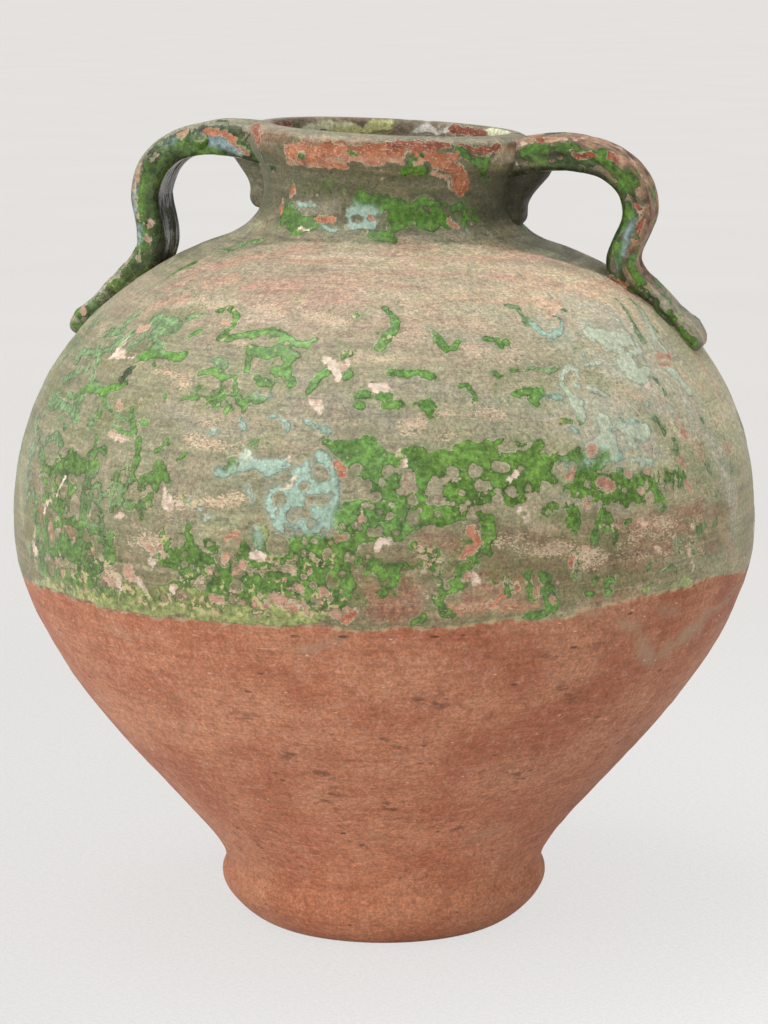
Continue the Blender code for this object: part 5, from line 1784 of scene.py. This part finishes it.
def clay_colour(g, f, pits):
    """Bare terracotta, with stains, soot and pits, painted shade on its right side and painted light on its
    foot.
    """
    clay = g.mix(g.step(f.large, 0.34, 0.66), (0.47, 0.160, 0.082), (0.60, 0.260, 0.145))
    clay = g.marked(clay, [
        (f.mottle, 0.52, 0.70, 0.50, (0.64, 0.34, 0.23)),
        (f.mottle, 0.48, 0.32, 0.50, (0.34, 0.115, 0.055)),
        (f.streak, 0.42, 0.72, 0.22, (0.62, 0.33, 0.21)),
        (f.streak, 0.50, 0.28, 0.24, (0.33, 0.12, 0.065)),
    ])
    across, _, height = g.split(f.place)
    # Painted shade: the clay darkens towards its right side, away from the lamp.
    clay = g.shade(clay, g.step(across, 0.015, 0.120, 1.0, 0.85))
    # Painted light on the foot, which faces the floor and gets little light: lighter towards the right, a
    # little darker at the far left, and a lighter orange near the floor.
    painted_foot_light = g.times(g.step(height, 0.110, 0.020), g.step(across, -0.060, 0.0, -0.06, 0.24))
    clay = g.marked(g.shade(clay, g.add(painted_foot_light, 1.0)), [(height, 0.055, 0.012, 0.30, (0.64, 0.29, 0.155))])
    clay = g.shaded(clay, [
        (f.small, 0.25, 0.75, 0.86, 1.14), (f.grit, 0.28, 0.72, 0.75, 1.25), (f.drag, 0.32, 0.68, 0.92, 1.08),
    ])
    stained = g.add(g.noise(f.place, 60, 4.0, 0.6), g.times(f.stain, 0.5))
    sooty = g.noise(f.grain, (110, 110, 240), 4.0, 0.65)
    clay = g.marked(clay, [
        (stained, 0.54, 0.96, 1.0, (0.62, (0.42, 0.33, 0.21)), f.stain),
        (sooty, 0.50, 0.60, 0.8, (0.12, 0.055, 0.035), f.specks),
    ])
    clay = g.mix(g.times(pits, 0.80), clay, (0.10, 0.05, 0.03))
    flecks, _ = g.cells(g.scaled(f.grain, (150, 150, 320)), 1)
    some_flecks = g.step(g.noise(f.place, 90, 2.0), 0.53, 0.64)
    scraped = g.noise(f.grain, (38, 38, 520), 3.0, 0.7)
    some_scraped = g.step(g.noise(f.place, 34, 1.0), 0.54, 0.62)
    return g.marked(clay, [
        (flecks, 0.15, 0.08, 0.8, (0.82, 0.60, 0.44), some_flecks),
        (scraped, 0.66, 0.70, 0.6, (0.74, 0.46, 0.33), some_scraped),
    ])


def ground_colour(g, f, crumb, film):
    """The worn ground of the glaze, with a film of paint on it near the flakes."""
    brushed = g.step(g.noise(f.place, 22, 1.0), 0.40, 0.60, 0.25, 1.0)
    ground = g.marked(f.ground, [
        (f.blotch, 0.52, 0.66, 0.42, (0.5, (0.62, 0.42, 0.29)), f.lit),
        (f.blotch, 0.47, 0.34, 0.55, 0.70),
        (f.streak, 0.50, 0.68, 0.45, (0.6, (0.74, 0.61, 0.42)), f.lit),
        (f.streak, 0.48, 0.30, 0.55, 0.62),
        (f.medium, 0.50, 0.66, 0.40, (0.55, (0.27, 0.34, 0.17)), f.lit),
        (f.medium, 0.46, 0.32, 0.42, (0.5, (0.50, 0.33, 0.22)), f.lit),
        (f.drag, 0.54, 0.68, 0.40, (0.55, (0.30, 0.36, 0.19)), brushed, f.lit),
    ])
    ground = g.mix(brushed, ground, g.shaded(ground, [(f.dash, 0.32, 0.68, 0.84, 1.14)]))
    ground = g.marked(ground, [
        (f.mottle, 0.52, 0.64, 0.42, (0.5, (0.60, 0.46, 0.31)), f.lit),
        (f.mottle, 0.48, 0.36, 0.42, 0.66),
    ])
    ground = g.shaded(ground, [(f.small, 0.32, 0.68, 0.84, 1.16), (f.grit, 0.30, 0.70, 0.72, 1.28)])
    crumb_colour = g.mix(g.step(f.small, 0.4, 0.6), (0.84, 0.68, 0.45), (0.74, 0.50, 0.36))
    ground = g.mix(g.times(crumb, 0.9), ground, crumb_colour)
    distance, chance = g.cells(f.place, 150)
    seeds = g.less(distance, g.times(chance, 0.08))
    ground = g.marked(ground, [
        (seeds, 0.08, 0.03, 0.75, (0.60, 0.42, 0.27), g.step(chance, 0.70, 0.78)),
        (g.noise(f.place, 560, 1.0), 0.64, 0.70, 0.60, 0.50),
    ])
    near_paint = g.mix(0.5, g.shade(ground, 0.80), f.paint)
    return g.marked(ground, [(f.flake_field, -3.0, 0.2, film, near_paint, g.step(f.net, 0.40, 0.60))])


def paint_colour(g, f, mottle):
    """The bright glaze of the flakes."""
    mottled = g.shaded(f.paint, [(f.small, 0.30, 0.70, *mottle), (f.medium, 0.34, 0.66, 0.74, 1.22)])
    paint = g.mix(g.step(f.paint_green, 0.36, 0.52, 1.0, 0.35), f.paint, mottled)
    paint = g.marked(g.shaded(paint, [(f.grit, 0.30, 0.70, 0.78, 1.24)]), [
        (f.mottle, 0.56, 0.70, 0.45, (0.5, (0.30, 0.33, 0.13))),
        (f.mottle, 0.46, 0.34, 0.40, 0.60),
        (f.drag, 0.54, 0.70, 0.35, (0.4, (0.50, 0.56, 0.30))),
    ])
    granular = g.step(f.specks, 0.15, 0.60)
    pearls = g.add(g.noise(f.place, 330, 2.0), g.sway(f.clump, 0.3))
    pearl_colour = g.mix(g.step(f.small, 0.42, 0.58), (0.74, 0.68, 0.32), (0.76, 0.48, 0.30))
    return g.marked(g.shaded(paint, [(f.flake_field, 0.1, 1.2, 0.70, 1.0)]), [
        (g.noise(f.place, 640, 1.0), 0.70, 0.74, 0.7, (0.62, 0.52, 0.34), f.lit),
        (pearls, 0.56, 0.61, 0.80, pearl_colour, granular),
        (pearls, 0.46, 0.41, 0.6, 0.55, granular),
    ])


def bare_colour(g, f):
    """Slip or clay where the glaze has chipped off."""
    bare = g.shaded(f.bare, [(f.small, 0.25, 0.75, 0.74, 1.18)])
    dirty = g.mix(1.0, bare, (0.60, 0.36, 0.28), "MULTIPLY")
    return g.marked(bare, [
        (g.add(f.mottle, g.times(f.drag, 0.6)), 0.78, 0.92, 0.6, dirty),
        (f.grit, 0.56, 0.66, 0.5, (0.90, 0.76, 0.60)),
        (f.medium, 0.56, 0.70, 0.45, 0.62),
        (f.drag, 0.56, 0.70, 0.5, (0.84, 0.66, 0.50)),
    ])


def pottery(name, film, mottle, rim_amount, shine):
    """Terracotta under a worn, flaking green glaze, read from a mesh's layers."""
    material = bpy.data.materials.new(name)
    g = Graph(material)
    f = fields_of(g)
    glazed = g.step(f.edge_field, -0.25, 0.25)
    flaked = g.times(g.step(f.flake_field, -0.16, 0.16), g.step(f.glaze, -0.2, 0.3))
    chipped = g.step(f.chip_field, -0.15, 0.15)
    rim = g.times(g.step(f.flake_field, -0.85, -0.35), g.step(f.medium, 0.46, 0.60), rim_amount)
    pit_cells, _ = g.cells(g.scaled(f.grain, (75, 75, 190)), 1)
    pits = g.times(g.step(pit_cells, 0.18, 0.08), g.step(g.noise(f.place, 48, 2.0), 0.50, 0.62))
    crumbs = g.noise(f.grain, (720, 720, 1150), 3.0, 0.75)
    crumbs = g.add(crumbs, g.times(f.specks, 0.18), g.sway(f.clump, 0.50))
    crumb = g.times(g.step(crumbs, 0.670, 0.715), f.lit)

    # The layers, from the clay up
    base = g.mix(glazed, clay_colour(g, f, pits), ground_colour(g, f, crumb, film))
    near_edge = g.math("ABSOLUTE", f.edge_field)
    broken = g.step(f.medium, 0.36, 0.56), g.step(f.mottle, 0.40, 0.60)
    base = g.marked(base, [(near_edge, 1.5, 0.5, 0.75, (0.62, 0.46, 0.27), *broken)])
    base = g.mix(g.times(rim, f.lit, 0.60), base, (0.74, 0.63, 0.44))
    # Painted shadow: a dark line on the ground just outside the raised flakes' edges.
    base = g.marked(base, [(f.flake_field, -0.55, -0.12, 0.45, 0.35, g.step(f.net, 0.42, 0.56))])
    base = g.mix(flaked, base, paint_colour(g, f, mottle))
    chip_rim = g.step(f.medium, 0.40, 0.56)
    base = g.marked(base, [(f.chip_field, -0.75, -0.30, 0.6, (0.84, 0.68, 0.50), chip_rim)])
    shader = g.nodes["Principled BSDF"]
    g.feed(shader.inputs["Base Color"], g.mix(chipped, base, bare_colour(g, f)))

    rough = 0.88
    dull = g.step(f.small, 0.3, 0.7, 0.48, 0.68)
    glossy = g.add(g.step(f.small, 0.3, 0.75, *shine), g.step(f.paint_green, 0.09, 0.03, 0.0, 0.05))
    for value, share in ((dull, glazed), (glossy, flaked), (0.85, chipped)):
        rough = g.math("MULTIPLY_ADD", g.less(value, rough), share, rough)
    g.feed(shader.inputs["Roughness"], rough)
    shader.inputs["IOR"].default_value = 1.5
    shader.inputs["Sheen Weight"].default_value = 0.10
    shader.inputs["Sheen Roughness"].default_value = 0.35
    shader.inputs["Sheen Tint"].default_value = (0.88, 0.96, 1.0, 1.0)

    height = g.add(
        g.times(g.step(f.flake_field, -0.22, 0.35), 0.36, glazed),
        g.times(glazed, 0.16),
        g.times(g.step(f.chip_field, -0.2, 0.3), -0.28),
        g.times(rim, 0.05),
        g.times(f.streak, g.step(glazed, 0, 1, 0.28, 0.15)),
        g.times(f.drag, 0.12),
        g.times(f.fine, g.step(flaked, 0, 1, 0.15, 0.015)),
        g.times(f.small, 0.10),
        g.times(pits, -0.5, g.less(1.0, glazed)),
        g.times(crumb, 0.05),
    )
    bump = g.node("Bump", {"Strength": 0.9, "Distance": MM, "Height": height})
    g.feed(shader.inputs["Normal"], bump.outputs[0])
    return material


wall_material = pottery("worn_green_glaze_on_terracotta", 0.75, (0.70, 1.26), 1.0, (0.17, 0.36))
handle_material = pottery("dark_green_glaze_on_straps", 0.3, (0.62, 1.30), 0.45, (0.09, 0.24))

SLOTS = {
    "foot_base": "foot_clay",
    "lower_wall": "lower_wall_clay",
    "upper_wall": "upper_wall_glaze",
    "neck_collar": "neck_glaze",
    "rim_lip": "lip_clay",
}
pieces = [(turned[node], node, slot, wall_material) for node, slot in SLOTS.items()]
for side in STRAPS:
    pieces.append((handles[side], side + "_handle", "handle_glaze", handle_material))
    pieces.append((wads[side], side + "_luting_wad", "wad_glaze", handle_material))
pieces.append((boss, "left_handle_pellet", "handle_glaze", handle_material))
for item, node, slot, material in pieces:
    item.data.materials.append(material)
    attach(item, "root")
    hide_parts(node)


# Studio: a pale floor, a soft key light from the left and an even sky

def pale_floor(half=40.0):
    """A pale floor that shows almost evenly lit to the camera and in reflections."""
    mesh = bpy.data.meshes.new("studio_floor")
    corners = [(-half, -half, 0), (half, -half, 0), (half, half, 0), (-half, half, 0)]
    mesh.from_pydata(corners, [], [(0, 1, 2, 3)])
    add_object("studio_floor", mesh)
    material = bpy.data.materials.new("pale_linen")
    mesh.materials.append(material)
    g = Graph(material)
    place = g.node("TexCoord").outputs["Object"]
    weave = g.noise(place, (900, 300, 1), 2.0)
    slub = g.noise(place, (300, 900, 1), 2.0)
    colour = g.mix(g.noise(place, 3.0, 2.0), (0.71, 0.69, 0.67), (0.75, 0.735, 0.72))
    # Painted light on the floor: lighter in front of the jar than far behind it, and lighter towards the
    # right, where the jar's shade falls.
    across, near, _ = g.split(place)
    front = g.shade((0.785, 0.78, 0.77), g.step(across, -0.30, 0.35, 0.94, 1.08))
    colour = g.mix(g.step(near, 1.2, -0.6), colour, front)
    colour = g.shade(colour, g.step(g.add(weave, slub), 0.7, 1.3, 0.96, 1.04))
    shader = g.nodes["Principled BSDF"]
    g.feed(shader.inputs["Base Color"], colour)
    shader.inputs["Roughness"].default_value = 0.95
    shader.inputs["Specular IOR Level"].default_value = 0.1
    rays = g.node("LightPath").outputs
    reflected = g.math("MAXIMUM", rays["Is Glossy Ray"], rays["Is Transmission Ray"])
    seen = g.math("MAXIMUM", rays["Is Camera Ray"], reflected)
    pale = g.node("Emission", {"Color": g.shade(colour, 1.06)})
    both = g.node("MixShader", (g.times(seen, 0.84), shader.outputs[0], pale.outputs[0]))
    g.feed(g.nodes["Material Output"].inputs["Surface"], both.outputs[0])


def key_light():
    """A soft sun."""
    key = bpy.data.lights.new("window_light", "SUN")
    key.energy = 0.75
    key.angle = math.radians(55)
    key.color = (1.0, 0.99, 0.97)
    direction = Vector((0.50, 0.42, -1.0))
    add_object("window_light", key).rotation_euler = direction.to_track_quat("-Z", "Y").to_euler()


# Glows of the sky: the way to each, how sharp it is and how strong. The last two are windows.
SKY_GLOWS = [
    ((-0.80, -0.58, 0.08), 2.5, 0.60),
    ((-0.10, -0.12, 1.0), 1.6, 0.68),
    ((-0.97, -0.15, 0.05), 130.0, 8.0),
    ((-0.20, 0.05, 0.98), 110.0, 9.0),
]


def soft_sky():
    """An even sky with glows in it."""
    world = bpy.data.worlds.new("soft_sky")
    bpy.context.scene.world = world
    g = Graph(world)
    toward = g.node("TexCoord").outputs["Generated"]
    glows = []
    for way, sharpness, strength in SKY_GLOWS:
        middle = tuple(Vector(way).normalized())
        facing = g.node("VectorMath", (toward, middle), operation="DOT_PRODUCT").outputs["Value"]
        glows.append(g.times(g.math("POWER", g.math("MAXIMUM", facing, 0.0), sharpness), strength))
    back = g.nodes["Background"]
    g.feed(back.inputs["Color"], (0.985, 0.98, 0.965))
    g.feed(back.inputs["Strength"], g.add(*glows, 0.30))


pale_floor()
key_light()
soft_sky()

camera_data = bpy.data.cameras.new("photo_camera")
camera_data.sensor_width = SENSOR
camera_data.sensor_fit = "AUTO"
camera_data.lens = FOCAL_PIXELS / FRAME_HEIGHT * SENSOR
camera_data.clip_end = 200
camera = add_object("photo_camera", camera_data)
camera.location = CAMERA_PLACE.tolist()
camera.rotation_euler = (math.pi / 2 - CAMERA_PITCH, 0, CAMERA_TURN)
bpy.context.scene.camera = camera
bpy.context.scene.view_settings.view_transform = "Standard"
